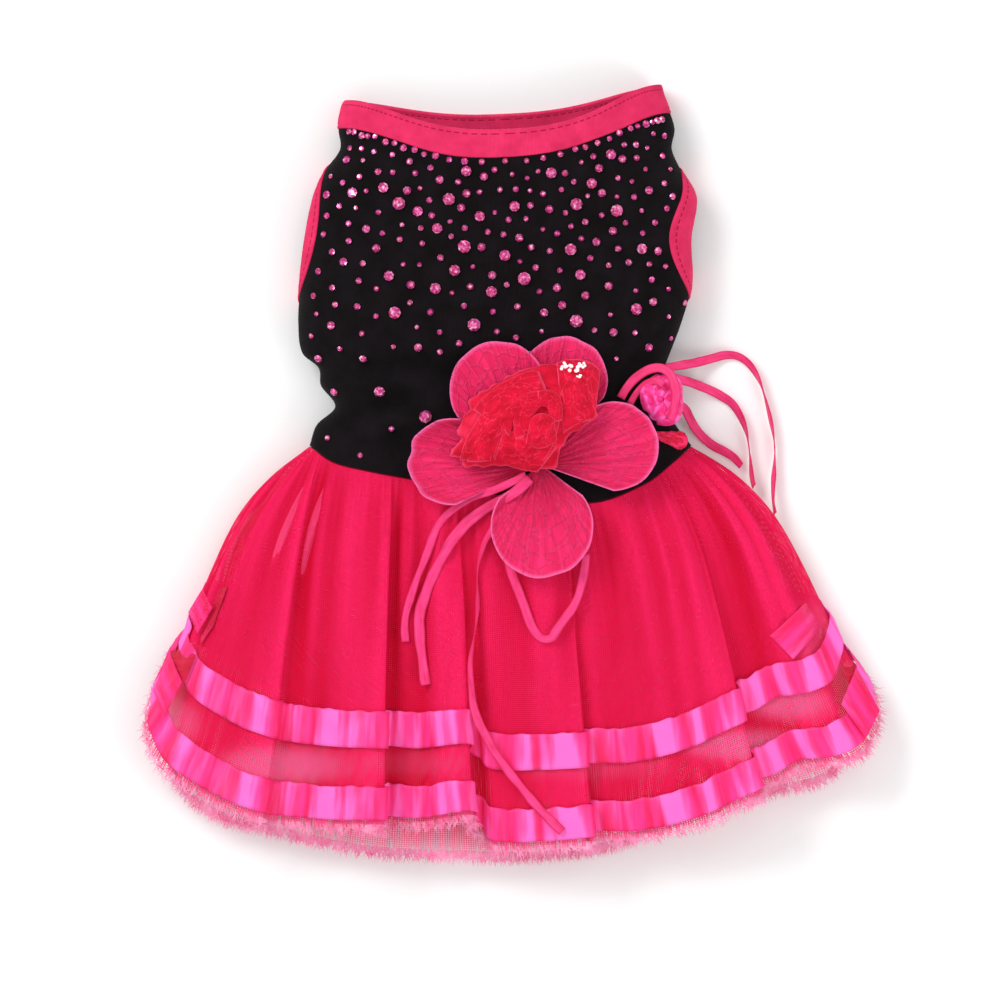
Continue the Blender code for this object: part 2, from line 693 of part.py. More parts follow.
def petal_rim(side, reach, width):
    """Direction and distance of a petal's rim from its root: a round tip and straight sides."""
    tip = width / 2
    middle = max(reach - tip, tip)
    angle = side * PETAL_SPREAD * math.asin(tip / middle)
    offset = middle * sin(angle)
    return angle, (middle * cos(angle) + math.sqrt(tip * tip - offset * offset)) * reach / (middle + tip)


def add_petal(name, centre, aim, reach, width, base, tip_lift, finish, columns=PETAL_COLUMNS):
    """Cloth petal lying out from the flower's middle, with radial ridges."""
    rows = []
    for share in PETAL_ROWS:
        row = []
        for column in range(columns + 1):
            side = 2 * column / columns - 1
            angle, rim = petal_rim(side, reach, width)
            radius = mixed(PETAL_ROOT, rim, share)
            ridge = PETAL_RIDGE * cos(side * pi * PETAL_RIDGES) * share
            cup = PETAL_CUP * side * side * share
            height = base + tip_lift * share ** 2 + ridge + cup
            angle += radians(aim)
            row.append(Vector((centre[0] + radius * cos(angle), centre[1] + radius * sin(angle), height)))
        rows.append(row)
    add_sheet(name, rows, PETAL_WALL, finish, loop=False, grow=1.0)


def add_flower():
    """Five crepe petals with the organza rose over their roots."""
    seat = flower_seat()
    for name, aim, reach, width, layer, tip_lift in PETALS:
        base = seat + layer * PETAL_STEP
        add_petal(name, FLOWER_CENTRE, aim, reach, width, base, tip_lift, ((0.85, 0.03, 0.2), 0.75))
    base = seat + 2 * PETAL_STEP + ROSE_LIFT
    for name, scale, height, twist, ruffles in ROSE_LAYERS:
        add_rose_layer(name, scale, height * ROSE_HEIGHT, twist, ruffles, base)
        base += height * ROSE_HEIGHT * ROSE_NEST + ORGANZA_WALL + LAYER_GAP


def add_rose_layer(name, scale, height, twist, ruffles, base, columns=ROSE_COLUMNS):
    """One crumpled cap of organza, open underneath."""
    rows = []
    flat, steep = ROSE_DOME_POWERS
    for share in ROSE_ROWS:
        row = []
        for column in range(columns):
            turn = 360.0 * column / columns
            reach = ROSE_REACH * scale * smooth_steps(ROSE_OUTLINE, turn + twist, 360.0)[0]
            ruffle = ROSE_RUFFLE * height * cos(radians(turn) * ruffles + 3 * share)
            z = base + height * (1 - share ** flat) ** steep + ruffle * share * (1 - share) * 4
            angle = radians(turn)
            row.append(Vector((
                ROSE_CENTRE[0] + reach * share * cos(angle),
                ROSE_CENTRE[1] + reach * share * sin(angle),
                z,
            )))
        rows.append(row)
    add_sheet(name, rows, ORGANZA_WALL, ((0.80, 0.01, 0.04), 0.5))


def cloth_top(x, y):
    """Height of the bodice's back at a place seen from above."""
    return body_point(turn_at(x, y), y).z


def add_rosebud():
    """Small satin bud beside the flower and the leaf under it."""
    half_x, half_y, half_z = BUD_HALF
    seat = 0.0
    for across in (-0.9, -0.6, -0.3, 0.0, 0.3, 0.6):
        for down in (-0.8, -0.4, 0.0, 0.4, 0.8):
            inside = 1 - across * across - down * down
            if inside <= 0:
                continue
            top = cloth_top(BUD_CENTRE[0] + across * half_x, BUD_CENTRE[1] + down * half_y)
            seat = max(seat, top + half_z * math.sqrt(inside))
    height = seat + LAYER_GAP
    mesh = bmesh.new()
    bmesh.ops.create_uvsphere(mesh, u_segments=BUD_COLUMNS, v_segments=BUD_RINGS, radius=1.0)
    for vertex in mesh.verts:
        angle = math.atan2(vertex.co.y, vertex.co.x)
        wave = cos(BUD_FOLDS * angle + BUD_TWIST * vertex.co.z)
        fold = 1 + BUD_FOLD * wave * (1 - abs(vertex.co.z))
        vertex.co = Vector((vertex.co.x * half_x * fold, vertex.co.y * half_y * fold, vertex.co.z * half_z))
    data = bpy.data.meshes.new("rosebud")
    mesh.to_mesh(data)
    mesh.free()
    data.shade_smooth()
    bud = add_object("rosebud", data, ((0.9, 0.03, 0.25), 0.4))
    bud.location = (*BUD_CENTRE, height)
    root_x, root_y = LEAF_ROOT
    sides = (-LEAF_WIDTH / 2, 0.0, LEAF_WIDTH / 2)
    leaf_seat = max(cloth_top(root_x + PETAL_ROOT, root_y + side) for side in sides) + LAYER_GAP
    add_petal(
        "rosebud_leaf", LEAF_ROOT, LEAF_AIM, LEAF_REACH, LEAF_WIDTH, leaf_seat, 0.0,
        ((0.75, 0.01, 0.06), 0.5), LEAF_COLUMNS,
    )


def stone_mesh(name, size):
    """Cut stone: flat back, eight sides, eight crown facets and a table."""
    mesh = bmesh.new()
    rings = []
    for radius, height in STONE_PROFILE:
        ring = []
        for corner in range(STONE_SIDES):
            angle = 2 * pi * (corner + 0.5) / STONE_SIDES
            ring.append(mesh.verts.new((
                size * radius * cos(angle),
                size * radius * sin(angle),
                size * height,
            )))
        rings.append(ring)
    mesh.faces.new(reversed(rings[0]))
    mesh.faces.new(rings[-1])
    for lower, upper in zip(rings, rings[1:]):
        for corner in range(STONE_SIDES):
            following = (corner + 1) % STONE_SIDES
            mesh.faces.new((lower[corner], lower[following], upper[following], upper[corner]))
    data = bpy.data.meshes.new(name)
    mesh.to_mesh(data)
    mesh.free()
    return data


def add_stones():
    """Largest stones, each seated on the knit."""
    places = [(across, NECK_Y - down * BODICE_LENGTH, size) for across, down, size in STONES]
    places += [(across, WAIST_Y + up, size) for across, up, size in FLOWER_STONES]
    for number, (across, y, size) in enumerate(places, 1):
        turn = turn_at(across * CHEST_HALF, y)
        name = f"stone_{number:02d}"
        stone = add_object(name, stone_mesh(name, size * STONE_SIZE), ((0.85, 0.1, 0.35), 0.15, 0.6))
        normal = body_normal(turn, y)
        stone.location = body_point(turn, y) + normal * STONE_SEAT
        stone.rotation_euler = normal.to_track_quat("Z", "Y").to_euler()


def smooth_route(route, step):
    """Points and tilts along a smooth curve through a route, about a step apart."""
    rows = []
    reach = 0.0
    for index, point in enumerate(route):
        if index:
            reach += (Vector(point[:3]) - Vector(route[index - 1][:3])).length * MM
        rows.append((reach, *point))
    count = max(2, round(reach / step))
    samples = [smooth_steps(rows, reach * place / count) for place in range(count + 1)]
    waist = Vector((0.0, WAIST_Y, 0.0))
    return [(waist + Vector(sample[:3]) * MM, sample[3]) for sample in samples]


def add_ribbon(name, width):
    """Flat strip along its route."""
    samples = smooth_route(ROUTES[name], RIBBON_STEP)
    rows = ([], [])
    for index, (point, tilt) in enumerate(samples):
        before = samples[max(index - 1, 0)][0]
        after = samples[min(index + 1, len(samples) - 1)][0]
        forward = (after - before).normalized()
        side = forward.cross(Vector((0, 0, 1))).normalized()
        side = Matrix.Rotation(radians(tilt), 4, forward) @ side
        rows[0].append(point + side * width / 2)
        rows[1].append(point - side * width / 2)
    add_sheet(name, rows, RIBBON_WALL, ((0.9, 0.04, 0.3), 0.4), loop=False, grow=0.0)


def clear_scene():
    """Remove every object that the new file starts with."""
    for item in list(bpy.data.objects):
        bpy.data.objects.remove(item, do_unlink=True)


def build():
    """Make the whole dress."""
    clear_scene()
    add_bodice()
    add_neck_binding()
    add_armhole_bindings()
    add_skirt()
    add_flower()
    add_rosebud()
    add_stones()
    for name in ROUTES:
        add_ribbon(name, RIBBON_WIDTH * RIBBON_SHARES.get(name, 1.0))


build()
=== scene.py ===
import math
import random
from math import cos, pi, radians, sin

import bmesh
import bpy
import numpy as np
from mathutils import Matrix, Vector, noise


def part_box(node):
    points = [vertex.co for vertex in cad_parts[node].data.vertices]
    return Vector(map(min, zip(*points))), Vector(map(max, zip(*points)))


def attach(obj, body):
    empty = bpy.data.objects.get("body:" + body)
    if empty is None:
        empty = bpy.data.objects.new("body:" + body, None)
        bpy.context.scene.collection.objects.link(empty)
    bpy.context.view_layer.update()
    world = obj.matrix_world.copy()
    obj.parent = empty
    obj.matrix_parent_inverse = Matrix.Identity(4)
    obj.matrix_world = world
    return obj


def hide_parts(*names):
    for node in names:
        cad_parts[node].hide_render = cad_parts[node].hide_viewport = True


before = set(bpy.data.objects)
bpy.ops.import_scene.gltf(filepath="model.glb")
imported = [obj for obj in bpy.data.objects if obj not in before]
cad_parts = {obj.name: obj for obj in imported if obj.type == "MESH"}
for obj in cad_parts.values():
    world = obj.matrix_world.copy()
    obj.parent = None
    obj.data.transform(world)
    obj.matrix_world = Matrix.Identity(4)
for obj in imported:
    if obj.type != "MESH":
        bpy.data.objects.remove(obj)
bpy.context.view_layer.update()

# A dog dress lying on its belly side, seen from straight above: knit bodice with
# stones, gathered net skirt with satin bands, cloth flower and narrow ribbons.
# Lengths are metres: +X to the right, +Y to the neck, +Z up from the surface.

MM = 0.001

# Photograph
PHOTO_WIDTH = 985
PIXEL = 0.38 * MM
PHOTO_MIDDLE = (-7.6 * MM, -8.3 * MM)
CAMERA_HEIGHT = 3.0
SENSOR_WIDTH = 36.0
DRESS_MIDDLE_HEIGHT = 18 * MM
FLOOR_HALF = 3.0
FLOOR_LEVEL = -0.3 * MM

# Bodice, as in the part
KNIT_WALL = 1.2 * MM
BINDING_WALL = 1.8 * MM
NECK_Y = 144.1 * MM
BODICE_LENGTH = 134.5 * MM
WAIST_Y = NECK_Y - BODICE_LENGTH
CHEST_HALF = 73.0 * MM
BODICE_HEIGHT = 30.0 * MM
SIDE_HEIGHT = 9.0 * MM
NECK_SLOPE = 3.0 * MM
NECK_DIP_BACK = 14.5 * MM
NECK_DIP_BELLY = 7.6 * MM
NECK_DIP_POWER = 4
NECK_BAND = 9.5 * MM
WAIST_DROP = 21.6 * MM
WAIST_DROP_BELLY = 3.0 * MM
ARMHOLE_BAND = 9.0 * MM
ARMHOLE_GAP = 0.8 * MM
ARMHOLE_TIGHTEN = 0.75
SEAM_GAP = 0.45 * MM
ACROSS_POWER = 0.8
DOME_POWER = 0.85
BELLY_FLAT = 0.55
BINDING_OVERLAP = 1.0 * MM
BINDING_STITCH = 2.0 * MM
BODY_COLUMNS = 260
BODICE_ROWS = 130
LEG_HOLE_COLUMNS = 150
BODICE_GIRTH = 0.33
NECK_GIRTH = 0.30
LEG_HOLE_GIRTH = 0.13
HOLE_CUT = 0.97
KNIT_UNEVEN = 0.35 * MM

# Skirt and bands, as in the part
SKIRT_LENGTH = 156.5 * MM
HEM_HALF = 139.5 * MM
FOLD_HEIGHT = 28.0 * MM
UNDERSKIRT_HEM_HEIGHT = 10.5 * MM
SKIRT_REST = 1.4 * MM
SKIRT_REST_REACH = 0.08
SKIRT_RISE_POWER = 0.7
BAND_UPPER = (0.690, 0.785)
BAND_LOWER = (0.885, 0.975)
FINE_GATHERS = 120
FINE_DEPTH = 0.35 * MM
BROAD_GATHERS = 34
BROAD_DEPTH = 1.3 * MM
RUMPLE_DEPTH = 1.2 * MM
# Painted shade of the net's folds: the height from darkest to lightest, and the number of windows round
# the skirt for the level it is taken from.
SHADE_HEIGHT = 4.2 * MM
SHADE_WINDOWS = 26
SHEER_FLOOR = 4.0 * MM
FRAY_START = 0.945 * SKIRT_LENGTH
THREAD_FLOOR = 4.0 * MM
THREAD_WIDTH = 0.2 * MM
THREAD_REACH = (0.8 * MM, 4.6 * MM)
THREAD_ROOT = 2.0 * MM
THREAD_LEAN = 34
HEM_THREADS = 4200
SKIRT_THREADS = 2600
SKIRT_STEPS = 14
UNDERSKIRT_STEPS = 36
SKIRT_ROWS = 66
UNDERSKIRT_INSET = 1.4 * MM
BAND_LIFT = 0.7 * MM
BAND_EDGE_WAVE = 0.9 * MM
PUCKER_DEPTH = 0.7 * MM
SATIN_WALL = 0.4 * MM
LAY_POINTS = 30

# Flower, bud and stones; the spacings of stones run from the neck to the waist
FLOWER_CENTRE = (10.3 * MM, WAIST_Y - 7.4 * MM)
PETAL_ROOT = 1.0 * MM
PETAL_SPREAD = 0.94
PETAL_WALL = 0.5 * MM
PETAL_RAGGED = 0.035
PETAL_CREASE = 0.5 * MM
PETAL_PLEAT = 0.08 * MM
PETAL_WAVE = 1.6 * MM
PETAL_CUP = 0.6 * MM
PETAL_ROWS = 56
PETAL_COLUMNS = 71
PETAL_CREASES = 13
PETAL_PLEATS = 47
CURL_START = 0.86
ORGANZA_WALL = 0.3 * MM
ROSE_HEIGHT = 11.0 * MM
ROSE_RAGGED = 0.12
ROSE_CRUMPLE = 0.6 * MM
FOLD_STEPS = 40
ROSE_DOME_POWERS = (2.4, 0.6)
GLITTER_HEIGHT = 4.0 * MM
GLITTER_GRAINS = 7
BUD_GIRTH = 0.05
BUD_CRUMPLE = 0.10
BUD_ROUNDNESS = 0.85
BUD_FIT = 0.92
ROSE_CENTRE = Vector((6.6 * MM, WAIST_Y + 11.3 * MM, 0))
ROSE_REACH = 32.0 * MM
LEAF_ROOT = (51.0 * MM, WAIST_Y + 4.9 * MM)
LEAF_AIM = -14.0
LEAF_REACH = 16.0 * MM
LEAF_WIDTH = 7.0 * MM
RIBBON_WIDTH = 3.6 * MM
RIBBON_WALL = 0.4 * MM
RIBBON_STEP = 1.2 * MM
RIBBON_CUP = 0.5 * MM
RIBBON_TWIST = 24.0
RIBBON_NARROWING = 0.35
STONE_SEAT = 0.35 * MM
HOLE_MARGIN = 1.18
SET_STONES = 30
SEAM_STONES = 29
STONE_TRIES = 9000
STONE_TURNS = (12, 168)
STONE_SPACING = (3.9 * MM, 7.2 * MM)
STONE_FIELD = 0.72
WAIST_STONES = 0.76
WAIST_SPACING = 13.5 * MM
SEAM_SIZES = (2.1, 2.9)
FIELD_SIZES = (1.9, 2.2, 2.4, 2.6, 3.2)

BODICE_SECTIONS = [
    # down, left, right, height
    (0.00, 0.873, 0.781, 0.80),
    (0.10, 0.908, 0.846, 0.86),
    (0.16, 0.900, 0.832, 0.90),
    (0.22, 0.975, 0.880, 0.94),
    (0.30, 1.038, 0.958, 0.97),
    (0.42, 1.084, 0.940, 1.00),
    (0.56, 1.110, 0.928, 1.00),
    (0.66, 1.118, 0.877, 0.98),
    (0.74, 1.095, 0.821, 0.94),
    (0.78, 1.012, 0.795, 0.89),
    (0.83, 1.000, 0.793, 0.92),
    (0.89, 0.925, 0.800, 0.90),
    (0.94, 1.020, 0.850, 0.91),
    (1.00, 1.059, 0.934, 0.88),
]

WAIST_SEAM = [
    # across, drop
    (-1.00, 0.00),
    (-0.88, 0.28),
    (-0.70, 0.44),
    (-0.45, 0.60),
    (0.00, 0.88),
    (0.48, 1.00),
    (0.76, 0.66),
    (0.90, 0.30),
    (1.00, 0.00),
]

# Creases in the knit: across of CHEST_HALF, down and sizes of BODICE_LENGTH,
# depth of BODICE_HEIGHT, slant in degrees; a negative depth is a ridge
CREASES = [
    # across, down, half_length, half_width, depth, slant
    (-0.75, 0.765, 0.30, 0.035, 0.10, -10),
    (-0.62, 0.890, 0.22, 0.040, 0.08, 24),
    (-0.10, 0.800, 0.26, 0.050, 0.04, 12),
    (-0.52, 0.300, 0.30, 0.050, 0.04, 68),
    (0.52, 0.420, 0.28, 0.050, 0.04, -62),
    (0.30, 0.700, 0.26, 0.045, 0.04, -35),
    (-0.86, 0.705, 0.16, 0.025, -0.03, -18),
    (-0.72, 0.830, 0.18, 0.022, -0.035, -4),
    (-0.90, 0.815, 0.10, 0.016, 0.03, 8),
    (-0.66, 0.950, 0.16, 0.020, -0.03, 14),
    (-0.30, 0.905, 0.16, 0.018, 0.02, -20),
    (-0.72, 0.120, 0.12, 0.018, 0.02, 60),
    (0.66, 0.130, 0.12, 0.018, 0.02, -58),
    (0.74, 0.560, 0.18, 0.020, 0.025, 70),
    (0.66, 0.740, 0.14, 0.020, 0.03, 50),
    (0.10, 0.560, 0.30, 0.045, 0.015, 20),
]

# Leg holes: turn and half_turn in degrees round the body, down and half_length
# of BODICE_LENGTH
ARMHOLES = [
    # name, turn, half_turn, down, half_length
    ("left", -14.0, 34.0, 0.400, 0.196),
    ("right", 192.0, 42.0, 0.400, 0.184),
]

# Folded strip: share of its width and the rise of its surface
BINDING_PROFILE = [
    # share, rise
    (0.00, 0.05 * MM),
    (0.03, 0.45 * MM),
    (0.07, 0.60 * MM),
    (0.12, 0.30 * MM),
    (0.17, 0.55 * MM),
    (0.35, 0.65 * MM),
    (0.60, 0.60 * MM),
    (0.82, 0.45 * MM),
    (0.93, 0.20 * MM),
    (1.00, -0.30 * MM),
]

# Skirt folds from the left side over the back: turn in degrees round the waist,
# across of HEM_HALF, down of SKIRT_LENGTH, lift of FOLD_HEIGHT. Rows that step
# back to the left lie under the fold before them.
SKIRT_FOLDS = [
    # turn, across, down, lift
    (-16.0, -0.918, 0.495, 0.20),
    (-3.0, -1.000, 0.653, 0.42),
    (7.0, -0.962, 0.782, 0.52),
    (14.0, -0.809, 0.874, 0.62),
    (21.0, -0.690, 0.913, 0.80),
    (23.5, -0.680, 0.918, 0.66),
    (28.0, -0.635, 0.922, 0.60),
    (44.0, -0.499, 0.930, 0.74),
    (56.0, -0.395, 0.930, 0.96),
    (59.5, -0.352, 0.930, 0.90),
    (61.5, -0.375, 0.927, 0.66),
    (64.5, -0.340, 0.922, 0.46),
    (70.0, -0.253, 0.927, 0.60),
    (78.0, -0.130, 0.907, 0.93),
    (80.5, -0.100, 0.912, 0.86),
    (82.0, -0.118, 0.930, 0.62),
    (84.5, -0.078, 0.953, 0.52),
    (87.5, -0.041, 0.983, 0.66),
    (94.0, 0.087, 0.981, 0.76),
    (100.5, 0.195, 0.973, 0.86),
    (102.6, 0.222, 0.970, 0.80),
    (104.2, 0.205, 0.960, 0.58),
    (106.5, 0.256, 0.956, 0.57),
    (115.0, 0.346, 0.956, 0.68),
    (130.0, 0.510, 0.922, 0.82),
    (142.5, 0.640, 0.868, 1.00),
    (146.0, 0.682, 0.850, 0.92),
    (148.0, 0.668, 0.835, 0.62),
    (151.0, 0.722, 0.818, 0.50),
    (156.0, 0.796, 0.782, 0.60),
    (163.0, 0.894, 0.772, 0.78),
    (172.0, 0.967, 0.735, 0.60),
    (181.0, 1.000, 0.653, 0.42),
    (194.0, 0.951, 0.549, 0.24),
    (212.0, 0.782, 0.539, 0.0),
    (240.0, 0.455, 0.665, 0.0),
    (270.0, 0.000, 0.726, 0.0),
    (300.0, -0.470, 0.665, 0.0),
    (328.0, -0.785, 0.539, 0.0),
]

UNDERSKIRT_HEM = [
    # turn, across, down, lift
    (-12.0, -0.835, 0.520, 0.55),
    (4.0, -0.925, 0.780, 0.85),
    (24.0, -0.809, 0.898, 1.0),
    (44.0, -0.600, 0.949, 1.0),
    (62.0, -0.381, 0.988, 1.0),
    (78.0, -0.158, 0.998, 1.0),
    (94.0, 0.046, 1.000, 1.0),
    (110.0, 0.251, 0.978, 1.0),
    (132.0, 0.455, 0.912, 1.0),
    (152.0, 0.687, 0.847, 1.0),
    (172.0, 0.885, 0.782, 0.85),
    (190.0, 0.850, 0.560, 0.55),
    (218.0, 0.660, 0.471, 0.0),
    (270.0, 0.000, 0.617, 0.0),
    (322.0, -0.670, 0.471, 0.0),
]

SPREAD = [
    # along, across, down
    (0.00, 0.000, 0.000),
    (0.15, 0.240, 0.130),
    (0.30, 0.420, 0.270),
    (0.50, 0.585, 0.470),
    (0.72, 0.745, 0.700),
    (0.87, 0.865, 0.865),
    (1.00, 1.000, 1.000),
]

# How deep the gathers are on the way from the waist to the hem
GATHER_FADE = [
    # along, broad, fine
    (0.00, 0.00, 0.30),
    (0.05, 0.35, 1.00),
    (0.15, 0.90, 0.80),
    (0.35, 1.00, 0.30),
    (0.65, 0.55, 0.10),
    (1.00, 0.35, 0.10),
]

# Where the net looks sheer: middle and half sizes in millimetres
SHEER_PATCHES = [
    # x, y, half_x, half_y, share
    (88, -104, 24, 5.5, 0.75),
    (104, -88, 15, 6.5, 0.80),
    (-88, -112, 24, 7.0, 0.70),
    (106, -114, 14, 6.0, 0.60),
    (-128, -96, 9, 8.0, 0.45),
    (116, -64, 10, 14.0, 0.30),
    (-40, -111, 20, 4.5, 0.20),
    (30, -112, 30, 5.0, 0.20),
]

# How much the net pales towards its cut edge
HEM_PALENESS = [
    # along, share
    (0.00, 0.0),
    (0.90, 0.0),
    (0.95, 0.25),
    (1.00, 0.85),
]

# Turned ends of the bands: ends of both straight sides in millimetres, lift off
# the skirt and bulge, and whether the piece is in painted shade
BAND_TURNS = [
    # name, first_side, second_side, lift, bulge, in_shade
    ("band_inside_left_upper", ((-117.2, -42.7), (-118.8, -66.2)),
     ((-108.5, -44.2), (-113.8, -58.7)), 1.0, 0.5, True),
    ("band_turn_left_upper", ((-118.0, -45.0), (-123.3, -53.7)),
     ((-114.2, -52.2), (-119.9, -62.0)), 4.0, 0.8, False),
    ("band_inside_left_lower", ((-130.5, -68.5), (-127.0, -79.5)),
     ((-120.3, -70.0), (-124.5, -80.5)), 2.0, 0.5, True),
    ("band_turn_left_lower", ((-130.5, -69.6), (-136.6, -83.4)),
     ((-125.6, -80.3), (-132.8, -94.0)), 4.0, 0.8, False),
    ("band_turn_right_upper", ((97.8, -62.8), (106.5, -71.6)),
     ((114.2, -47.6), (119.2, -57.5)), 1.2, 0.8, False),
    ("band_inside_right_lower", ((125.7, -75.0), (128.0, -82.1)),
     ((131.3, -74.6), (131.7, -82.1)), 2.0, 0.5, True),
    ("band_turn_right_lower", ((130.9, -75.0), (124.8, -88.7)),
     ((139.6, -91.3), (134.3, -101.6)), 3.6, 0.8, False),
]

# Petals as in the part, with how much each waves and how far its rim curls up
PETALS = [
    # name, aim, reach, width, tip_lift, wave, curl
    ("petal_top_left", 119.0, 51 * MM, 37 * MM, 1.6 * MM, 0.5, 0.5 * MM),
    ("petal_top_right", 74.0, 50 * MM, 33 * MM, 0.6 * MM, 0.4, 0.3 * MM),
    ("petal_left", 178.0, 50 * MM, 33 * MM, 2.5 * MM, 0.9, 3.0 * MM),
    ("petal_right", 14.0, 46 * MM, 34 * MM, 1.6 * MM, 0.7, 1.2 * MM),
    ("petal_bottom", 272.0, 43 * MM, 39 * MM, 3.0 * MM, 0.6, 0.8 * MM),
]

# Narrow ribbons: points in millimetres from the waist, with the tilt of the
# strip in degrees: 0 lies flat, 90 on edge
ROUTES = {
    "ribbon_loop_outer": [
        (58.5, 29.6, 14.0, 0), (62, 30.2, 12.0, 0), (66, 30.9, 8.5, 0), (70.5, 31.8, 5.0, 5),
        (76, 33.2, 2.8, 10), (81.5, 34.6, 2.0, 20), (86.5, 34, 2.3, 40), (91, 30.4, 2.5, 60),
        (94.5, 24.4, 2.6, 70), (97, 16.4, 2.6, 75), (99, 7.9, 2.6, 80), (100.2, -0.6, 2.6, 80),
        (100, -8.6, 2.6, 80), (99.6, -15.6, 3.2, 75), (99.6, -21.6, 5.0, 70), (100.2, -26.1, 7.0, 65),
    ],
    "ribbon_loop_middle": [
        (58.5, 26.2, 11.4, 0), (61.6, 25.8, 12.0, 0), (65, 24.8, 11.2, 0), (67.5, 24.2, 9.0, 0),
        (71, 23, 5.0, 0), (75, 21.4, 2.8, 0), (79.2, 19.3, 2.0, 10), (83.8, 16.2, 2.2, 30),
        (87.2, 10.9, 2.5, 60), (89.3, 5.4, 2.6, 75), (90.4, -0.6, 2.6, 80), (91, -6.6, 2.6, 80),
        (91.4, -11.6, 3.2, 75), (92.2, -15.6, 5.0, 70),
    ],
    "ribbon_loop_inner": [
        (58.9, 16.4, 9.0, 0), (62.4, 16, 9.6, 0), (65.6, 14, 9.0, 0), (67.4, 10.9, 7.0, 0),
        (69.6, 7, 4.5, 0), (73.2, 2.8, 2.6, 5), (77, -0.2, 2.0, 10), (81, -2.2, 2.0, 20),
        (84.6, -4.6, 2.4, 40), (87.4, -7.8, 3.4, 60),
    ],
    "ribbon_streamer_wide": [
        (6.5, -12.6, 31.4, 0), (2.6, -16.4, 31.0, 0), (-1.8, -19.6, 29.8, 0), (-6.4, -21.9, 28.2, 0),
        (-9.5, -23.6, 27.2, 0), (-13, -26, 27.1, 0), (-17.7, -29.7, 27.2, 0), (-21, -33.6, 27.5, 0),
        (-23.4, -36.6, 27.8, 0), (-26.2, -41.6, 27.2, 0), (-28.8, -46.6, 26.3, 0),
        (-31.2, -51.6, 25.2, 0), (-33.2, -57.1, 24.0, 0), (-34.9, -62.1, 22.9, 0),
        (-35.5, -66.6, 22.1, 0), (-35.3, -70.6, 21.9, 0), (-35.1, -74.6, 21.9, 0),
        (-34.5, -79.1, 22.0, 0), (-33.9, -84.1, 22.0, 0), (-32.9, -90.9, 22.2, 0),
    ],
    "ribbon_streamer_narrow": [
        (5, -11.1, 31.4, 0), (-1, -14.2, 31.2, 0), (-7.1, -17, 30.4, 0), (-14, -19.2, 28.6, 0),
        (-17.7, -21, 27.0, 0), (-21.5, -23.4, 27.1, 0), (-25.2, -26.6, 27.1, 0),
        (-28.4, -30.6, 26.8, 0), (-30.2, -34.6, 26.4, 0), (-31.9, -39.6, 25.8, 0),
        (-34.2, -45.6, 24.8, 0), (-36.6, -51.6, 23.8, 0), (-38.6, -57.6, 22.6, 0),
        (-40.4, -63.6, 21.5, 0), (-41, -68.6, 20.8, 0), (-40.6, -74.6, 20.6, 0),
    ],
    "ribbon_streamer_long": [
        (-2.9, -25.8, 27.4, 0), (-5, -28.3, 27.4, 0), (-7.6, -31.9, 26.6, 30), (-10.2, -36.1, 26.3, 60),
        (-12, -40.8, 25.9, 75), (-13.2, -46.1, 25.0, 80), (-13.4, -51.6, 24.5, 80),
        (-13.3, -57.1, 24.2, 80), (-13.4, -62.6, 24.0, 80), (-13.9, -68.6, 24.4, 80),
        (-14.8, -74.1, 25.6, 75), (-15.8, -79.9, 26.4, 70), (-16, -85.6, 26.6, 60),
        (-15.6, -91.6, 26.8, 40), (-14.8, -98.9, 27.0, 20), (-12.8, -105.1, 26.8, 10),
        (-9.9, -110.6, 25.2, 5), (-6.8, -116.1, 24.2, 0), (-3.2, -121.4, 23.9, 0),
        (0.4, -126.1, 23.4, 0), (4.2, -130.8, 23.8, 0), (7.8, -135.2, 24.4, 0), (11.6, -139.4, 24.9, 0),
        (15.2, -143, 25.5, 0), (18.8, -146.4, 26.2, 0),
    ],
    "ribbon_v_loop": [
        (-2.2, -39.1, 26.1, 0), (-1.6, -43.6, 25.8, 0), (-0.4, -48.4, 25.6, 0), (1.2, -52.6, 25.5, 0),
        (2.9, -57, 25.4, 0), (4.6, -61.6, 25.3, 0), (6.2, -66.2, 25.2, 0), (8.4, -70.6, 25.2, 0),
        (11.6, -73.4, 25.6, 0), (14.8, -73, 26.1, 0), (17, -69.6, 26.4, 0), (19.8, -65.6, 26.4, 0),
        (22.9, -61.4, 26.3, 0), (25.2, -56.1, 25.8, 0), (26.6, -50.6, 25.4, 0), (27.4, -45.6, 25.2, 0),
        (27.9, -41.1, 25.4, 0),
    ],
    "ribbon_bud_outer": [
        (41, 17.9, 24.4, 0), (42.8, 21, 24.2, 0), (45.2, 24, 24.4, 0), (48.4, 26.8, 25.2, 0),
        (52, 28.8, 26.2, 0), (56, 29.3, 27.6, 0), (59.4, 27.2, 29.2, 0), (61.3, 23, 30.5, 0),
        (61.9, 18, 30.8, 0), (61, 13.2, 30.0, 0), (59.4, 9.4, 28.4, 0),
    ],
    "ribbon_bud_inner": [
        (44.6, 15.8, 23.8, 0), (46.2, 18.6, 24.2, 0), (48.4, 21.4, 25.4, 0), (51.2, 23.6, 27.6, 0),
        (54.4, 24.4, 29.6, 0), (57, 22.8, 30.9, 0),
    ],
}
RIBBON_SHARES = {"ribbon_streamer_wide": 1.2, "ribbon_bud_inner": 0.8, "ribbon_streamer_narrow": 0.9}
SHORTEST_CORD = 30 * MM


# Reading the tables

def mixed(first, second, share):
    """The value a share of the way from first to second."""
    return first + (second - first) * share


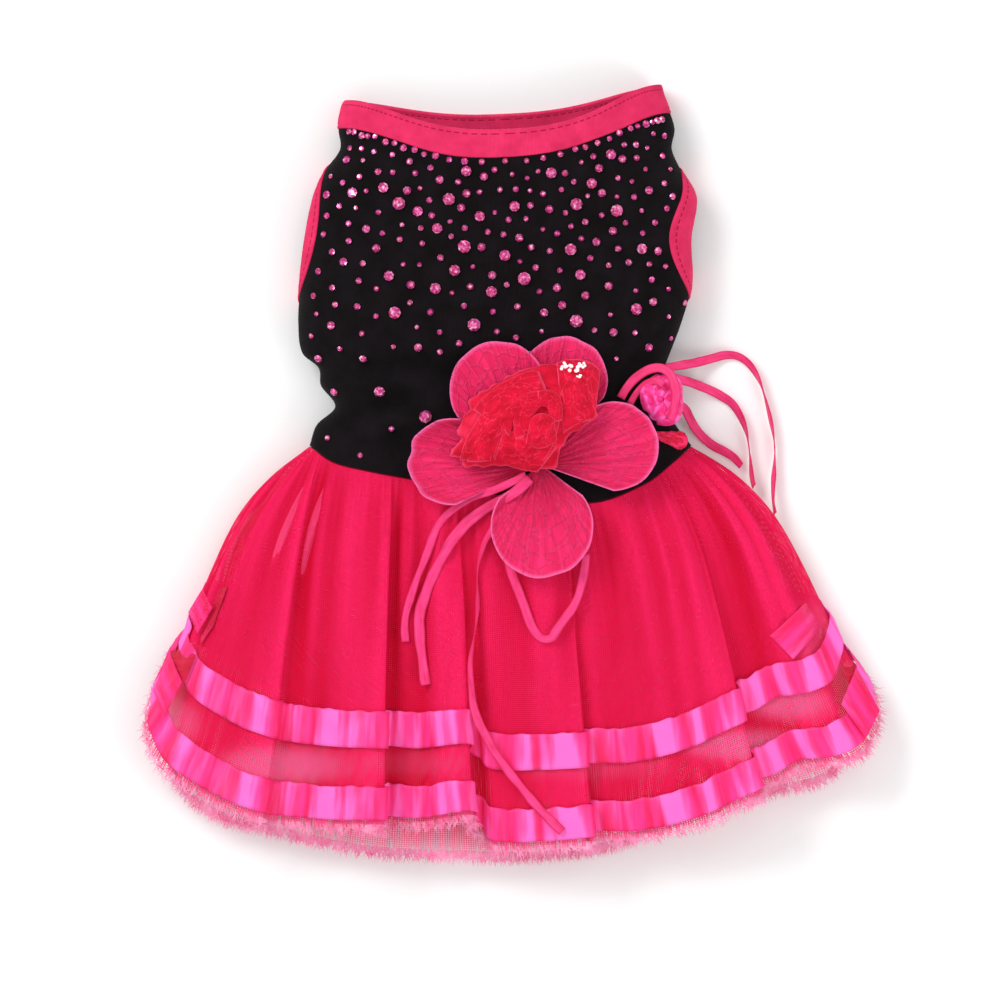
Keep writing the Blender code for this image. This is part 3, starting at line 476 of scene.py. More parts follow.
def smooth_steps(rows, at, loop=None):
    """Read the columns of a table at a place in its first column, along a smooth curve."""
    count = len(rows)
    if loop:
        start = rows[0][0]
        at = start + (at - start) % loop
    index = 0
    while index < count - 1 and at > rows[index + 1][0]:
        index += 1

    def row(place):
        if loop:
            turns, place = divmod(place, count)
            return (rows[place][0] + turns * loop, *rows[place][1:])
        return rows[min(max(place, 0), count - 1)]

    if not loop:
        index = min(index, count - 2)
    before, low, high, after = (row(index + step) for step in (-1, 0, 1, 2))
    span = high[0] - low[0]
    share = min(max((at - low[0]) / span, 0.0), 1.0)
    values = []
    for column in range(1, len(low)):
        slope_low = slope(before, high, column)
        slope_high = slope(low, after, column)
        values.append(hermite(low[column], high[column], slope_low * span, slope_high * span, share))
    return values


def slope(first, second, column):
    """Rise of one column between two rows, for each unit of the first column."""
    width = second[0] - first[0]
    return (second[column] - first[column]) / width if width else 0.0


def hermite(low, high, low_slope, high_slope, share):
    """Cubic curve between two values with the slopes given at its ends."""
    square, cube = share * share, share ** 3
    return (
        (2 * cube - 3 * square + 1) * low
        + (cube - 2 * square + share) * low_slope
        + (3 * square - 2 * cube) * high
        + (cube - square) * high_slope
    )


# Shape of the bodice

def across_share(turn):
    """Sideways place of a turn round the body, from -1 at the left to 1 at the right."""
    side = -cos(radians(turn))
    return math.copysign(abs(side) ** ACROSS_POWER, side)


def turn_at(x, y):
    """Turn round the body of a place on the bodice's back seen from above."""
    left, right, _ = bodice_section(y)
    share = min(max((2 * x - right + left) / (right + left), -1.0), 1.0)
    return math.degrees(math.acos(-math.copysign(abs(share) ** (1 / ACROSS_POWER), share)))


def bodice_section(y):
    """Left and right reach and height of the bodice at a place along it."""
    left, right, height = smooth_steps(BODICE_SECTIONS, (NECK_Y - y) / BODICE_LENGTH)
    return left * CHEST_HALF, right * CHEST_HALF, height * BODICE_HEIGHT


def crease_depth(x, y):
    """Depth of the knit's creases at a place seen from above."""
    depth = 0.0
    for across, down, half_length, half_width, deep, slant in CREASES:
        run = x - across * CHEST_HALF
        rise = y - (NECK_Y - down * BODICE_LENGTH)
        angle = radians(slant)
        along = (run * cos(angle) + rise * sin(angle)) / (half_length * BODICE_LENGTH)
        over = (rise * cos(angle) - run * sin(angle)) / (half_width * BODICE_LENGTH)
        depth += deep * BODICE_HEIGHT * math.exp(-over * over - 2 * along * along)
    return depth


def body_point(turn, y, inset=0.0):
    """Point on the bodice's outer face, or inset from it towards the middle."""
    left, right, height = bodice_section(y)
    centre, half = (right - left) / 2, (right + left) / 2 - inset
    x = centre + half * across_share(turn)
    rise = sin(radians(turn))
    if rise >= 0:
        top = height - inset
        z = SIDE_HEIGHT + (top - SIDE_HEIGHT) * rise ** DOME_POWER
        z -= crease_depth(x, y) * min(1.0, rise * 2)
    else:
        fall = sin(pi / 2 * min(1.0, -rise / BELLY_FLAT))
        z = SIDE_HEIGHT - (SIDE_HEIGHT - inset) * fall
    return Vector((x, y, z))


def body_normal(turn, y):
    """Outward direction of the bodice's face."""
    step = 0.5 * MM
    round_it = body_point(turn + 0.5, y) - body_point(turn - 0.5, y)
    along = body_point(turn, y + step) - body_point(turn, y - step)
    return round_it.cross(along).normalized()


def neck_edge(turn):
    """Y of the neck's edge at a turn round it."""
    rise = sin(radians(turn))
    dip = NECK_DIP_BACK if rise > 0 else NECK_DIP_BELLY
    return NECK_Y + NECK_SLOPE * across_share(turn) - dip * rise ** NECK_DIP_POWER


def waist_edge(turn):
    """Y of the waist seam at a turn round it."""
    rise = sin(radians(turn))
    if rise < 0:
        return WAIST_Y - WAIST_DROP_BELLY * rise * rise
    return WAIST_Y - WAIST_DROP * smooth_steps(WAIST_SEAM, across_share(turn))[0]


# Materials

def add_node(tree, kind, inputs=None, **settings):
    """Add a shader node, set its properties, and set or link its inputs."""
    made = tree.nodes.new("ShaderNode" + kind)
    for name, value in settings.items():
        setattr(made, name, value)
    for name, value in (inputs or {}).items():
        if isinstance(value, bpy.types.NodeSocket):
            tree.links.new(value, made.inputs[name])
        else:
            made.inputs[name].default_value = value
    return made


def calculate(tree, operation, *values):
    """Result of a Math node."""
    return add_node(tree, "Math", dict(enumerate(values)), operation=operation).outputs[0]


def blend_colours(tree, share, first, second):
    """Colour between two, by a share."""
    mix = add_node(tree, "Mix", {"Factor": share}, data_type="RGBA")
    for socket, colour in ((mix.inputs[6], first), (mix.inputs[7], second)):
        if isinstance(colour, bpy.types.NodeSocket):
            tree.links.new(colour, socket)
        else:
            socket.default_value = (*colour, 1.0)
    return mix.outputs[2]


def start_group(name, inputs, outputs):
    """Empty node group with its sockets; returns the tree, its input node and its output node."""
    tree = bpy.data.node_groups.new(name, "ShaderNodeTree")
    for socket, value in inputs.items():
        made = tree.interface.new_socket(socket, in_out="INPUT", socket_type="NodeSocketFloat")
        made.default_value = value
    for socket in outputs:
        tree.interface.new_socket(socket, in_out="OUTPUT", socket_type="NodeSocketFloat")
    return tree, tree.nodes.new("NodeGroupInput"), tree.nodes.new("NodeGroupOutput")


def cloth_place(tree):
    """The cloth's own lengths across and down, from its UV map."""
    uv = add_node(tree, "UVMap", uv_map="Cloth")
    split = add_node(tree, "SeparateXYZ", {0: uv.outputs[0]})
    return split.outputs[0], split.outputs[1]


def make_weave_group():
    """Square weave: how much thread covers a place, and how high it stands."""
    tree, given, result = start_group("Weave", {"Cell": 0.8 * MM, "Thread": 0.5}, ("Cover", "Height"))
    across, down = cloth_place(tree)
    heights = []
    for place in (across, down):
        cell = calculate(tree, "DIVIDE", place, given.outputs["Cell"])
        middle = calculate(tree, "PINGPONG", cell, 0.5)
        heights.append(calculate(tree, "MULTIPLY", middle, 2.0))
    height = calculate(tree, "MAXIMUM", *heights)
    edge = calculate(tree, "SUBTRACT", 1.0, given.outputs["Thread"])
    tree.links.new(calculate(tree, "GREATER_THAN", height, edge), result.inputs["Cover"])
    tree.links.new(height, result.inputs["Height"])
    return tree


def make_mottle_group():
    """Soft uneven patches over the whole piece."""
    tree, given, result = start_group("Mottle", {"Size": 20 * MM, "Stretch": 1.0}, ("Share",))
    place = add_node(tree, "TexCoord").outputs["Object"]
    scale = add_node(tree, "CombineXYZ", {0: given.outputs["Stretch"], 1: 1.0, 2: 1.0})
    stretched = add_node(tree, "VectorMath", {0: place, 1: scale.outputs[0]}, operation="MULTIPLY")
    often = calculate(tree, "DIVIDE", 1.0, given.outputs["Size"])
    patches = add_node(tree, "TexNoise", {"Vector": stretched.outputs[0], "Scale": often, "Detail": 3.0})
    spread = add_node(
        tree, "MapRange", {"Value": patches.outputs["Fac"], "From Min": 0.3, "From Max": 0.7}, clamp=True,
    )
    tree.links.new(spread.outputs[0], result.inputs["Share"])
    return tree


def make_rim_group():
    """Band along the sides of a piece whose UV map runs from 0 to 1, and along its ends too."""
    tree, given, result = start_group("Rim", {"Width": 0.1, "Ends": 1.0}, ("Share",))
    reaches = []
    for place in cloth_place(tree):
        centred = calculate(tree, "MULTIPLY_ADD", place, 2.0, -1.0)
        reaches.append(calculate(tree, "ABSOLUTE", centred))
    ends = calculate(tree, "MULTIPLY", reaches[1], given.outputs["Ends"])
    reach = calculate(tree, "MAXIMUM", reaches[0], ends)
    start = calculate(tree, "SUBTRACT", 1.0, given.outputs["Width"])
    band = add_node(tree, "MapRange", {"Value": reach, "From Min": start, "From Max": 1.0}, clamp=True)
    tree.links.new(band.outputs[0], result.inputs["Share"])
    return tree


def scaled_place(tree, given):
    """Cloth lengths multiplied by a group's Across and Down inputs."""
    across, down = cloth_place(tree)
    return add_node(tree, "CombineXYZ", {
        0: calculate(tree, "MULTIPLY", across, given.outputs["Across"]),
        1: calculate(tree, "MULTIPLY", down, given.outputs["Down"]),
    })


def make_streak_group():
    """Streaks that run down the cloth."""
    tree, given, result = start_group("Streaks", {"Across": 60.0, "Down": 4.0, "Soft": 0.18}, ("Share",))
    place = scaled_place(tree, given)
    streaks = add_node(tree, "TexNoise", {"Vector": place.outputs[0], "Scale": 1.0, "Detail": 4.0})
    spread = add_node(tree, "MapRange", {
        "Value": streaks.outputs["Fac"],
        "From Min": calculate(tree, "SUBTRACT", 0.5, given.outputs["Soft"]),
        "From Max": calculate(tree, "ADD", 0.5, given.outputs["Soft"]),
    }, clamp=True)
    tree.links.new(spread.outputs[0], result.inputs["Share"])
    return tree


def make_stitch_group():
    """Row of stitches along a strip, at one distance down its cloth."""
    inputs = {"Line": 2 * MM, "Pitch": 2 * MM, "Width": 0.5 * MM}
    tree, given, result = start_group("Stitches", inputs, ("Share",))
    across, down = cloth_place(tree)
    step = calculate(tree, "FRACT", calculate(tree, "DIVIDE", across, given.outputs["Pitch"]))
    sewn = calculate(tree, "LESS_THAN", step, 0.62)
    off = calculate(tree, "ABSOLUTE", calculate(tree, "SUBTRACT", down, given.outputs["Line"]))
    half = calculate(tree, "MULTIPLY", given.outputs["Width"], 0.5)
    line = calculate(tree, "LESS_THAN", off, half)
    tree.links.new(calculate(tree, "MULTIPLY", sewn, line), result.inputs["Share"])
    return tree


def make_vein_group():
    """Net of thin lines, as of veins or of creases in crumpled cloth."""
    tree, given, result = start_group("Veins", {"Across": 8.0, "Down": 8.0, "Width": 0.08}, ("Share",))
    place = scaled_place(tree, given)
    bent = add_node(tree, "TexNoise", {"Vector": place.outputs[0], "Scale": 1.3, "Detail": 2.0})
    moved = add_node(tree, "VectorMath", {0: place.outputs[0], 1: bent.outputs["Color"]}, operation="ADD")
    cells = add_node(
        tree, "TexVoronoi", {"Vector": moved.outputs[0], "Scale": 1.0}, feature="DISTANCE_TO_EDGE",
    )
    line = add_node(
        tree, "MapRange", {
            "Value": cells.outputs["Distance"], "From Min": given.outputs["Width"], "From Max": 0.0,
        }, clamp=True,
    )
    tree.links.new(line.outputs[0], result.inputs["Share"])
    return tree


def make_fray_group():
    """Ragged cut edge: how much of the cloth is left between two distances down it."""
    tree, given, result = start_group("Fray", {"Start": 0.14, "End": 0.15}, ("Cover",))
    across, down = cloth_place(tree)
    worn = add_node(tree, "MapRange", {
        "Value": down, "From Min": given.outputs["Start"], "From Max": given.outputs["End"],
    }, clamp=True)
    place = add_node(tree, "CombineXYZ", {
        0: calculate(tree, "MULTIPLY", across, 700.0), 1: calculate(tree, "MULTIPLY", down, 90.0),
    })
    threads = add_node(tree, "TexNoise", {"Vector": place.outputs[0], "Scale": 1.0, "Detail": 2.0})
    bound = calculate(tree, "MULTIPLY_ADD", worn.outputs[0], 0.30, 0.22)
    tree.links.new(calculate(tree, "GREATER_THAN", threads.outputs["Fac"], bound), result.inputs["Cover"])
    return tree


def use_group(tree, group, **values):
    """Place a node group with its own values or links."""
    made = add_node(tree, "Group")
    made.node_tree = group
    for name, value in values.items():
        if isinstance(value, bpy.types.NodeSocket):
            tree.links.new(value, made.inputs[name])
        else:
            made.inputs[name].default_value = value
    return made.outputs


def start_material(name, roughness, **values):
    """Material with one Principled shader; returns it, its tree and the shader."""
    material = bpy.data.materials.new(name)
    material.use_nodes = True
    tree = material.node_tree
    shader = tree.nodes["Principled BSDF"]
    shader.inputs["Roughness"].default_value = roughness
    for socket, value in values.items():
        shader.inputs[socket.replace("_", " ")].default_value = value
    return material, tree, shader


def set_colour(tree, shader, colour, glows=False):
    """Give the shader its colour, and painted light of the same colour where it glows."""
    tree.links.new(colour, shader.inputs["Base Color"])
    if glows:
        tree.links.new(colour, shader.inputs["Emission Color"])


def add_bump(tree, shader, height, distance, strength=0.6):
    """Feed a height into the shader's normal."""
    bump = add_node(tree, "Bump", {"Height": height, "Distance": distance, "Strength": strength})
    tree.links.new(bump.outputs[0], shader.inputs["Normal"])


def make_knit():
    """Black jersey: fine ribs, and soft lighter bluish patches of painted sheen."""
    material, tree, shader = start_material("black_knit", 0.9, Sheen_Weight=0.03, Specular_IOR_Level=0.1)
    weave = use_group(tree, WEAVE, Cell=0.9 * MM, Thread=0.5)
    patches = use_group(tree, MOTTLE, Size=9 * MM)["Share"]
    # Lighter bluish patches are painted sheen.
    colour = blend_colours(tree, patches, (0.0035, 0.0018, 0.0026), (0.0085, 0.0055, 0.0075))
    ribs = calculate(tree, "MULTIPLY", weave["Height"], 0.35)
    tree.links.new(blend_colours(tree, ribs, colour, (0.001, 0.001, 0.001)), shader.inputs["Base Color"])
    add_bump(tree, shader, weave["Height"], 0.2 * MM)
    return material


def make_binding():
    """Pink folded jersey with ribs across it and a row of stitches along its seam."""
    material, tree, shader = start_material(
        "pink_binding", 0.85, Sheen_Weight=0.03, Specular_IOR_Level=0.1,
    )
    weave = use_group(tree, WEAVE, Cell=0.8 * MM, Thread=0.5)
    patches = use_group(tree, MOTTLE, Size=6 * MM)["Share"]
    stitches = use_group(tree, STITCHES, Line=BINDING_STITCH, Pitch=2.2 * MM, Width=0.5 * MM)["Share"]
    colour = blend_colours(tree, patches, (0.66, 0.022, 0.10), (0.86, 0.036, 0.145))
    ribs = calculate(tree, "MULTIPLY", weave["Height"], 0.25)
    ribbed = blend_colours(tree, ribs, colour, (0.50, 0.012, 0.06))
    sewn = blend_colours(tree, calculate(tree, "MULTIPLY", stitches, 0.8), ribbed, (0.30, 0.004, 0.03))
    set_colour(tree, shader, sewn)
    height = calculate(tree, "SUBTRACT", weave["Height"], calculate(tree, "MULTIPLY", stitches, 3.0))
    add_bump(tree, shader, height, 0.12 * MM)
    return material


def make_net(name, valley_shade_and_grain, ridge, pale, thread, painted_glow=0.05):
    """Stiff pink net: painted shade deep in its folds and painted light on their crests, paler where it
    is sheer, frayed at its cut edge, and faintly glowing with painted light.
    """
    # The net gives off faint light of its own colour: painted light.
    material, tree, shader = start_material(name, 0.8, Emission_Strength=painted_glow, Specular_IOR_Level=0.04)
    shade_sheer_map = add_node(tree, "SeparateXYZ", {0: add_node(tree, "UVMap", uv_map="ShadeSheer").outputs[0]})
    shade, sheer = shade_sheer_map.outputs[0], shade_sheer_map.outputs[1]
    streaks = use_group(tree, STREAKS, Across=180.0, Down=12.0, Soft=0.25)["Share"]
    grain = use_group(tree, MOTTLE, Size=1.3 * MM, Stretch=1.6)["Share"]
    mixed_shade = calculate(tree, "ADD", calculate(tree, "MULTIPLY", shade, 0.75),
                            calculate(tree, "MULTIPLY", streaks, 0.25))
    # Painted shade in the fold hollows and painted light on the crests; the same deep colour also darkens
    # the grain.
    colour = blend_colours(tree, mixed_shade, valley_shade_and_grain, ridge)
    grained = blend_colours(tree, calculate(tree, "MULTIPLY", grain, 0.40), colour, valley_shade_and_grain)
    paled = blend_colours(tree, sheer, grained, pale)
    set_colour(tree, shader, paled, glows=True)
    thinned = calculate(tree, "SUBTRACT", thread, calculate(tree, "MULTIPLY", sheer, 0.22))
    weave = use_group(tree, WEAVE, Cell=0.85 * MM, Thread=thinned)
    frayed = use_group(tree, FRAY, Start=FRAY_START, End=SKIRT_LENGTH)["Cover"]
    tree.links.new(calculate(tree, "MULTIPLY", weave["Cover"], frayed), shader.inputs["Alpha"])
    return material


def make_satin(name, deep, middle, light, across, down):
    """Satin ribbon: patches of painted highlight as on its puckers, against streaks of painted shade and
    deeper colour, with faint painted light of its own colour.
    """
    material, tree, shader = start_material(name, 0.42, Sheen_Weight=0.04, Specular_IOR_Level=0.2)
    highlight_blocks = use_group(tree, STREAKS, Across=across, Down=down, Soft=0.07)["Share"]
    fine = use_group(tree, STREAKS, Across=across * 3.1, Down=down * 2, Soft=0.12)["Share"]
    # Streaks of deep and middle colour: painted sheen and shade.
    ground = blend_colours(tree, fine, deep, middle)
    # Patches of painted highlight.
    painted_highlights = blend_colours(tree, calculate(tree, "POWER", highlight_blocks, 2.0), ground, light)
    # The satin gives off faint light of its own colour: painted light.
    set_colour(tree, shader, painted_highlights, glows=True)
    shader.inputs["Emission Strength"].default_value = 0.04
    weave = use_group(tree, WEAVE, Cell=0.35 * MM, Thread=0.5)
    add_bump(tree, shader, weave["Height"], 0.03 * MM)
    return material


def make_narrow_satin():
    """Narrow ribbon: painted light along its middle and in sheen streaks, painted shade at the edges, and
    painted light and shade along it where it turns.
    """
    material, tree, shader = start_material(
        "narrow_satin", 0.45, Sheen_Weight=0.03, Specular_IOR_Level=0.15,
    )
    turns = use_group(tree, STREAKS, Across=1.2, Down=130.0, Soft=0.14)["Share"]
    threads = use_group(tree, STREAKS, Across=14.0, Down=60.0, Soft=0.2)["Share"]
    edge = use_group(tree, RIM, Width=0.35, Ends=0.0)["Share"]
    # Painted light and shade that change along the ribbon where it turns.
    ground = blend_colours(tree, turns, (0.76, 0.010, 0.10), (1.0, 0.040, 0.22))
    # Streaks of painted sheen along the threads.
    thread_sheen = blend_colours(tree, calculate(tree, "MULTIPLY", threads, 0.4), ground, (1.0, 0.13, 0.40))
    # Painted shade at the edges.
    edge_shaded = blend_colours(tree, calculate(tree, "MULTIPLY", edge, 0.6), thread_sheen, (0.60, 0.006, 0.06))
    set_colour(tree, shader, edge_shaded)
    add_bump(tree, shader, threads, 0.1 * MM)
    return material


def make_crepe():
    """Pressed crepe: creases that fan from the root with painted shade in them, fine veins with painted
    light, painted highlight along the rim, and painted shade towards the root.
    """
    material, tree, shader = start_material("crepe_petal", 0.8, Sheen_Weight=0.04, Specular_IOR_Level=0.1)
    streaks = use_group(tree, STREAKS, Across=44.0, Down=5.0, Soft=0.13)["Share"]
    veins = use_group(tree, VEINS, Across=9.0, Down=16.0, Width=0.09)["Share"]
    rim = use_group(tree, RIM, Width=0.045, Ends=1.0)["Share"]
    patches = use_group(tree, MOTTLE, Size=11 * MM)["Share"]
    _, down = cloth_place(tree)
    # Painted shade towards the root, under the rose, mixed with uneven patches.
    root = add_node(tree, "MapRange", {"Value": down, "From Min": 0.52, "From Max": 0.80}, clamp=True)
    out_of_root_shade = calculate(tree, "MULTIPLY", root.outputs[0], 0.65)
    reach = calculate(tree, "MULTIPLY_ADD", patches, 0.35, out_of_root_shade)
    ground = blend_colours(tree, reach, (0.74, 0.008, 0.065), (0.95, 0.032, 0.165))
    # Painted shade in the creases.
    crease_painted = blend_colours(tree, calculate(tree, "MULTIPLY", streaks, 0.50), ground, (0.60, 0.010, 0.075))
    # Painted light on the raised veins.
    vein_lit = blend_colours(tree, calculate(tree, "MULTIPLY", veins, 0.18), crease_painted, (1.0, 0.10, 0.30))
    # Painted highlight along the rim.
    rim_highlighted = blend_colours(tree, calculate(tree, "POWER", rim, 1.5), vein_lit, (1.0, 0.16, 0.44))
    set_colour(tree, shader, rim_highlighted)
    height = calculate(tree, "ADD", veins, calculate(tree, "MULTIPLY", streaks, -1.2))
    add_bump(tree, shader, height, 0.4 * MM, 0.9)
    return material


def make_organza():
    """Red organza: painted highlights along folded edges and creases, deep where it lies in layers, and
    faint painted light of its own colour.
    """
    material, tree, shader = start_material(
        "red_organza", 0.5, Sheen_Weight=0.04, Emission_Strength=0.08, Specular_IOR_Level=0.12,
    )
    creases = use_group(tree, VEINS, Across=3.2, Down=3.2, Width=0.05)["Share"]
    rim = use_group(tree, RIM, Width=0.06, Ends=1.0)["Share"]
    patches = use_group(tree, MOTTLE, Size=5 * MM)["Share"]
    ground = blend_colours(tree, patches, (0.62, 0.002, 0.022), (0.93, 0.007, 0.055))
    # Painted highlights along the creases.
    crease_painted = blend_colours(tree, calculate(tree, "MULTIPLY", creases, 0.45), ground, (1.0, 0.045, 0.14))
    # Painted highlight along the folded edges.
    rim_highlighted = blend_colours(tree, calculate(tree, "MULTIPLY", rim, 0.8), crease_painted, (1.0, 0.12, 0.28))
    # The organza gives off faint light of its own colour: painted light.
    set_colour(tree, shader, rim_highlighted, glows=True)
    weave = use_group(tree, WEAVE, Cell=0.4 * MM, Thread=0.5)
    height = calculate(tree, "ADD", weave["Height"], calculate(tree, "MULTIPLY", creases, 4.0))
    add_bump(tree, shader, height, 0.06 * MM)
    cover = calculate(tree, "MAXIMUM", rim, creases)
    tree.links.new(calculate(tree, "MULTIPLY_ADD", cover, 0.28, 0.72), shader.inputs["Alpha"])
    return material


def make_stone():
    """Hot pink cut stone: painted reflections, deep, pink and white, that differ from facet to facet."""
    material, tree, shader = start_material("cut_stone", 0.15, Metallic=0.5, Coat_Weight=0.3)
    painted_glints = use_group(tree, MOTTLE, Size=1.1 * MM)["Share"]
    tints = use_group(tree, MOTTLE, Size=2.7 * MM)["Share"]
    # Painted reflections: deep and pink patches with white painted glints.
    deep = blend_colours(tree, tints, (0.30, 0.004, 0.07), (0.50, 0.02, 0.30))
    painted_reflection = blend_colours(tree, painted_glints, deep, (0.95, 0.06, 0.30))
    colour = blend_colours(tree, calculate(tree, "POWER", painted_glints, 4.0), painted_reflection, (1.0, 0.72, 0.92))
    set_colour(tree, shader, colour)
    return material


def make_glitter():
    """Silver glitter with white painted glints and faint painted light of its own colour."""
    material, tree, shader = start_material("silver_glitter", 0.2, Metallic=0.3)
    painted_glints = use_group(tree, MOTTLE, Size=0.8 * MM)["Share"]
    # White painted glints.
    colour = blend_colours(tree, painted_glints, (0.85, 0.70, 0.76), (1.0, 1.0, 1.0))
    # The glitter gives off light of its own colour: painted light.
    set_colour(tree, shader, colour, glows=True)
    shader.inputs["Emission Strength"].default_value = 0.25
    return material


def make_thread():
    """Loose pale pink thread."""
    material, tree, shader = start_material("frayed_thread", 0.8, Specular_IOR_Level=0.1)
    patches = use_group(tree, MOTTLE, Size=5 * MM)["Share"]
    colour = blend_colours(tree, patches, (0.90, 0.14, 0.34), (0.98, 0.42, 0.64))
    set_colour(tree, shader, colour)
    return material


def make_floor():
    """Pale matt paper."""
    material, tree, shader = start_material("pale_floor", 0.9, Specular_IOR_Level=0.1)
    patches = use_group(tree, MOTTLE, Size=0.4)["Share"]
    colour = blend_colours(tree, patches, (0.95, 0.95, 0.95), (0.97, 0.97, 0.97))
    set_colour(tree, shader, colour)
    return material


# Making meshes

def link(name, mesh, material, slot, *nodes):
    """Link a finished mesh as a piece that stands for CAD nodes."""
    piece = bpy.data.objects.new(name + "_cloth" if nodes else name, mesh)
    bpy.context.scene.collection.objects.link(piece)
    mesh.materials.append(material)
    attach(piece, "root")
    if nodes:
        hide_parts(*nodes)
    return piece


def sheet_mesh(name, points, widths, lengths, loop=False, keep=None, shade_and_sheer=None):
    """Mesh through a grid of points, with the cloth's own lengths as its UV map.

    shade_and_sheer gives each point its painted shade from a fold's hollow to its crest and how sheer it
    is.
    """
    rows, columns = points.shape[:2]
    row, column = np.meshgrid(
        np.arange(rows - 1), np.arange(columns if loop else columns - 1), indexing="ij",
    )
    row, column = row.ravel(), column.ravel()
    if keep is not None:
        row, column = row[keep.ravel()], column[keep.ravel()]
    following = (column + 1) % columns
    corners = np.stack([
        row * columns + column, (row + 1) * columns + column,
        (row + 1) * columns + following, row * columns + following,
    ], -1)
    used, compact = np.unique(corners, return_inverse=True)
    mesh = bpy.data.meshes.new(name)
    mesh.from_pydata(points.reshape(-1, 3)[used].tolist(), [], compact.reshape(-1, 4).tolist())
    across = np.stack([widths[column], widths[column], widths[column + 1], widths[column + 1]], -1)
    down = np.stack([lengths[row], lengths[row + 1], lengths[row + 1], lengths[row]], -1)
    layer = mesh.uv_layers.new(name="Cloth")
    layer.data.foreach_set("uv", np.stack([across, down], -1).ravel())
    if shade_and_sheer is not None:
        # Second UV map: painted shade of the folds, and how sheer the net is.
        layer = mesh.uv_layers.new(name="ShadeSheer")
        layer.data.foreach_set("uv", shade_and_sheer.reshape(-1, 2)[corners.ravel()].ravel())
    mesh.shade_smooth()
    return mesh


def thicken(piece, wall, grow=-1.0):
    """Give a sheet its thickness."""
    thick = piece.modifiers.new("Thickness", "SOLIDIFY")
    thick.thickness = wall
    thick.offset = grow


def grid_normals(points, loop=False):
    """Outward directions of a grid of points."""
    if loop:
        padded = np.concatenate([points[:, -1:], points, points[:, :1]], 1)
        across = padded[:, 2:] - padded[:, :-2]
    else:
        across = np.gradient(points, axis=1)
    down = np.gradient(points, axis=0)
    normals = np.cross(down, across)
    return normals / np.maximum(np.linalg.norm(normals, axis=-1, keepdims=True), 1e-12)


def soft_noise(x, y, seed=0.0):
    """Smooth noise from -1 to 1."""
    return noise.noise(Vector((x, y, seed)))


# Camera, light and floor

def add_camera():
    """Camera straight above, at the photograph's scale."""
    camera = bpy.data.objects.new("camera", bpy.data.cameras.new("camera"))
    bpy.context.scene.collection.objects.link(camera)
    camera.location = (*PHOTO_MIDDLE, CAMERA_HEIGHT)
    camera.data.sensor_width = SENSOR_WIDTH
    camera.data.lens = SENSOR_WIDTH * (CAMERA_HEIGHT - DRESS_MIDDLE_HEIGHT) / (PHOTO_WIDTH * PIXEL)
    camera.data.clip_end = 2 * CAMERA_HEIGHT
    bpy.context.scene.camera = camera


def add_area_light(name, place, size, power):
    """Soft light that faces the dress."""
    data = bpy.data.lights.new(name, "AREA")
    data.shape = "RECTANGLE"
    data.size, data.size_y = size
    data.energy = power
    light = bpy.data.objects.new(name, data)
    bpy.context.scene.collection.objects.link(light)
    light.location = place
    light.rotation_euler = Vector(place).to_track_quat("Z", "Y").to_euler()


def add_studio():
    """Bright room, two soft lights and a pale floor."""
    scene = bpy.context.scene
    scene.view_settings.view_transform = "Standard"
    world = bpy.data.worlds.new("bright_room")
    scene.world = world
    world.use_nodes = True
    tree = world.node_tree
    direction = add_node(tree, "TexCoord").outputs["Generated"]
    height = add_node(tree, "SeparateXYZ", {0: direction}).outputs[2]
    share = add_node(tree, "MapRange", {"Value": height, "From Min": 0.0, "From Max": 0.9}, clamp=True)
    colour = blend_colours(tree, share.outputs[0], (0.55, 0.56, 0.58), (1.0, 1.0, 1.0))
    background = tree.nodes["Background"]
    tree.links.new(colour, background.inputs["Color"])
    background.inputs["Strength"].default_value = 0.85
    add_area_light("window_light", (-0.9, 0.8, 1.1), (0.9, 0.5), 13)
    add_area_light("side_light", (0.9, -0.5, 0.7), (0.5, 0.8), 4)

    mesh = bpy.data.meshes.new("floor")
    half, level = FLOOR_HALF, FLOOR_LEVEL
    corners = [(-half, -half, level), (half, -half, level), (half, half, level), (-half, half, level)]
    mesh.from_pydata(corners, [], [(0, 1, 2, 3)])
    floor = bpy.data.objects.new("floor", mesh)
    bpy.context.scene.collection.objects.link(floor)
    mesh.materials.append(make_floor())


# Narrow ribbons

def smooth_route(route, step):
    """Points and tilts along a smooth curve through a route, about a step apart."""
    rows = []
    reach = 0.0
    for index, point in enumerate(route):
        if index:
            reach += (Vector(point[:3]) - Vector(route[index - 1][:3])).length * MM
        rows.append((reach, *point))
    count = max(2, round(reach / step))
    samples = [smooth_steps(rows, reach * place / count) for place in range(count + 1)]
    waist = Vector((0.0, WAIST_Y, 0.0))
    return [(waist + Vector(sample[:3]) * MM, sample[3]) for sample in samples], reach


def add_ribbon(name, width):
    """Flat satin strip along its route, a little cupped and twisted."""
    samples, length = smooth_route(ROUTES[name], RIBBON_STEP)
    shares = (-0.5, -0.3, 0.0, 0.3, 0.5)
    rows = []
    for index, (point, tilt) in enumerate(samples):
        before = samples[max(index - 1, 0)][0]
        after = samples[min(index + 1, len(samples) - 1)][0]
        forward = (after - before).normalized()
        side = forward.cross(Vector((0, 0, 1))).normalized()
        twist = RIBBON_TWIST * soft_noise(index * 0.11, 0.0, width * 1700)
        side = Matrix.Rotation(radians(tilt + twist), 4, forward) @ side
        up = side.cross(forward)
        cup = RIBBON_CUP * soft_noise(index * 0.15, 0.0, width * 900)
        narrow = 1 - RIBBON_NARROWING * abs(soft_noise(index * 0.09, 3.0, width * 500))
        rows.append([
            point - side * width * narrow * share + up * cup * (1 - 4 * share * share) for share in shares
        ])
    widths = np.array(shares) + 0.5
    lengths = np.linspace(0, length, len(rows))
    mesh = sheet_mesh(name, np.array(rows), widths, lengths)
    piece = link(name, mesh, NARROW_SATIN, "narrow_ribbon", name)
    thicken(piece, RIBBON_WALL, 0.0)
    if length < SHORTEST_CORD:
        return


# Bodice and bindings

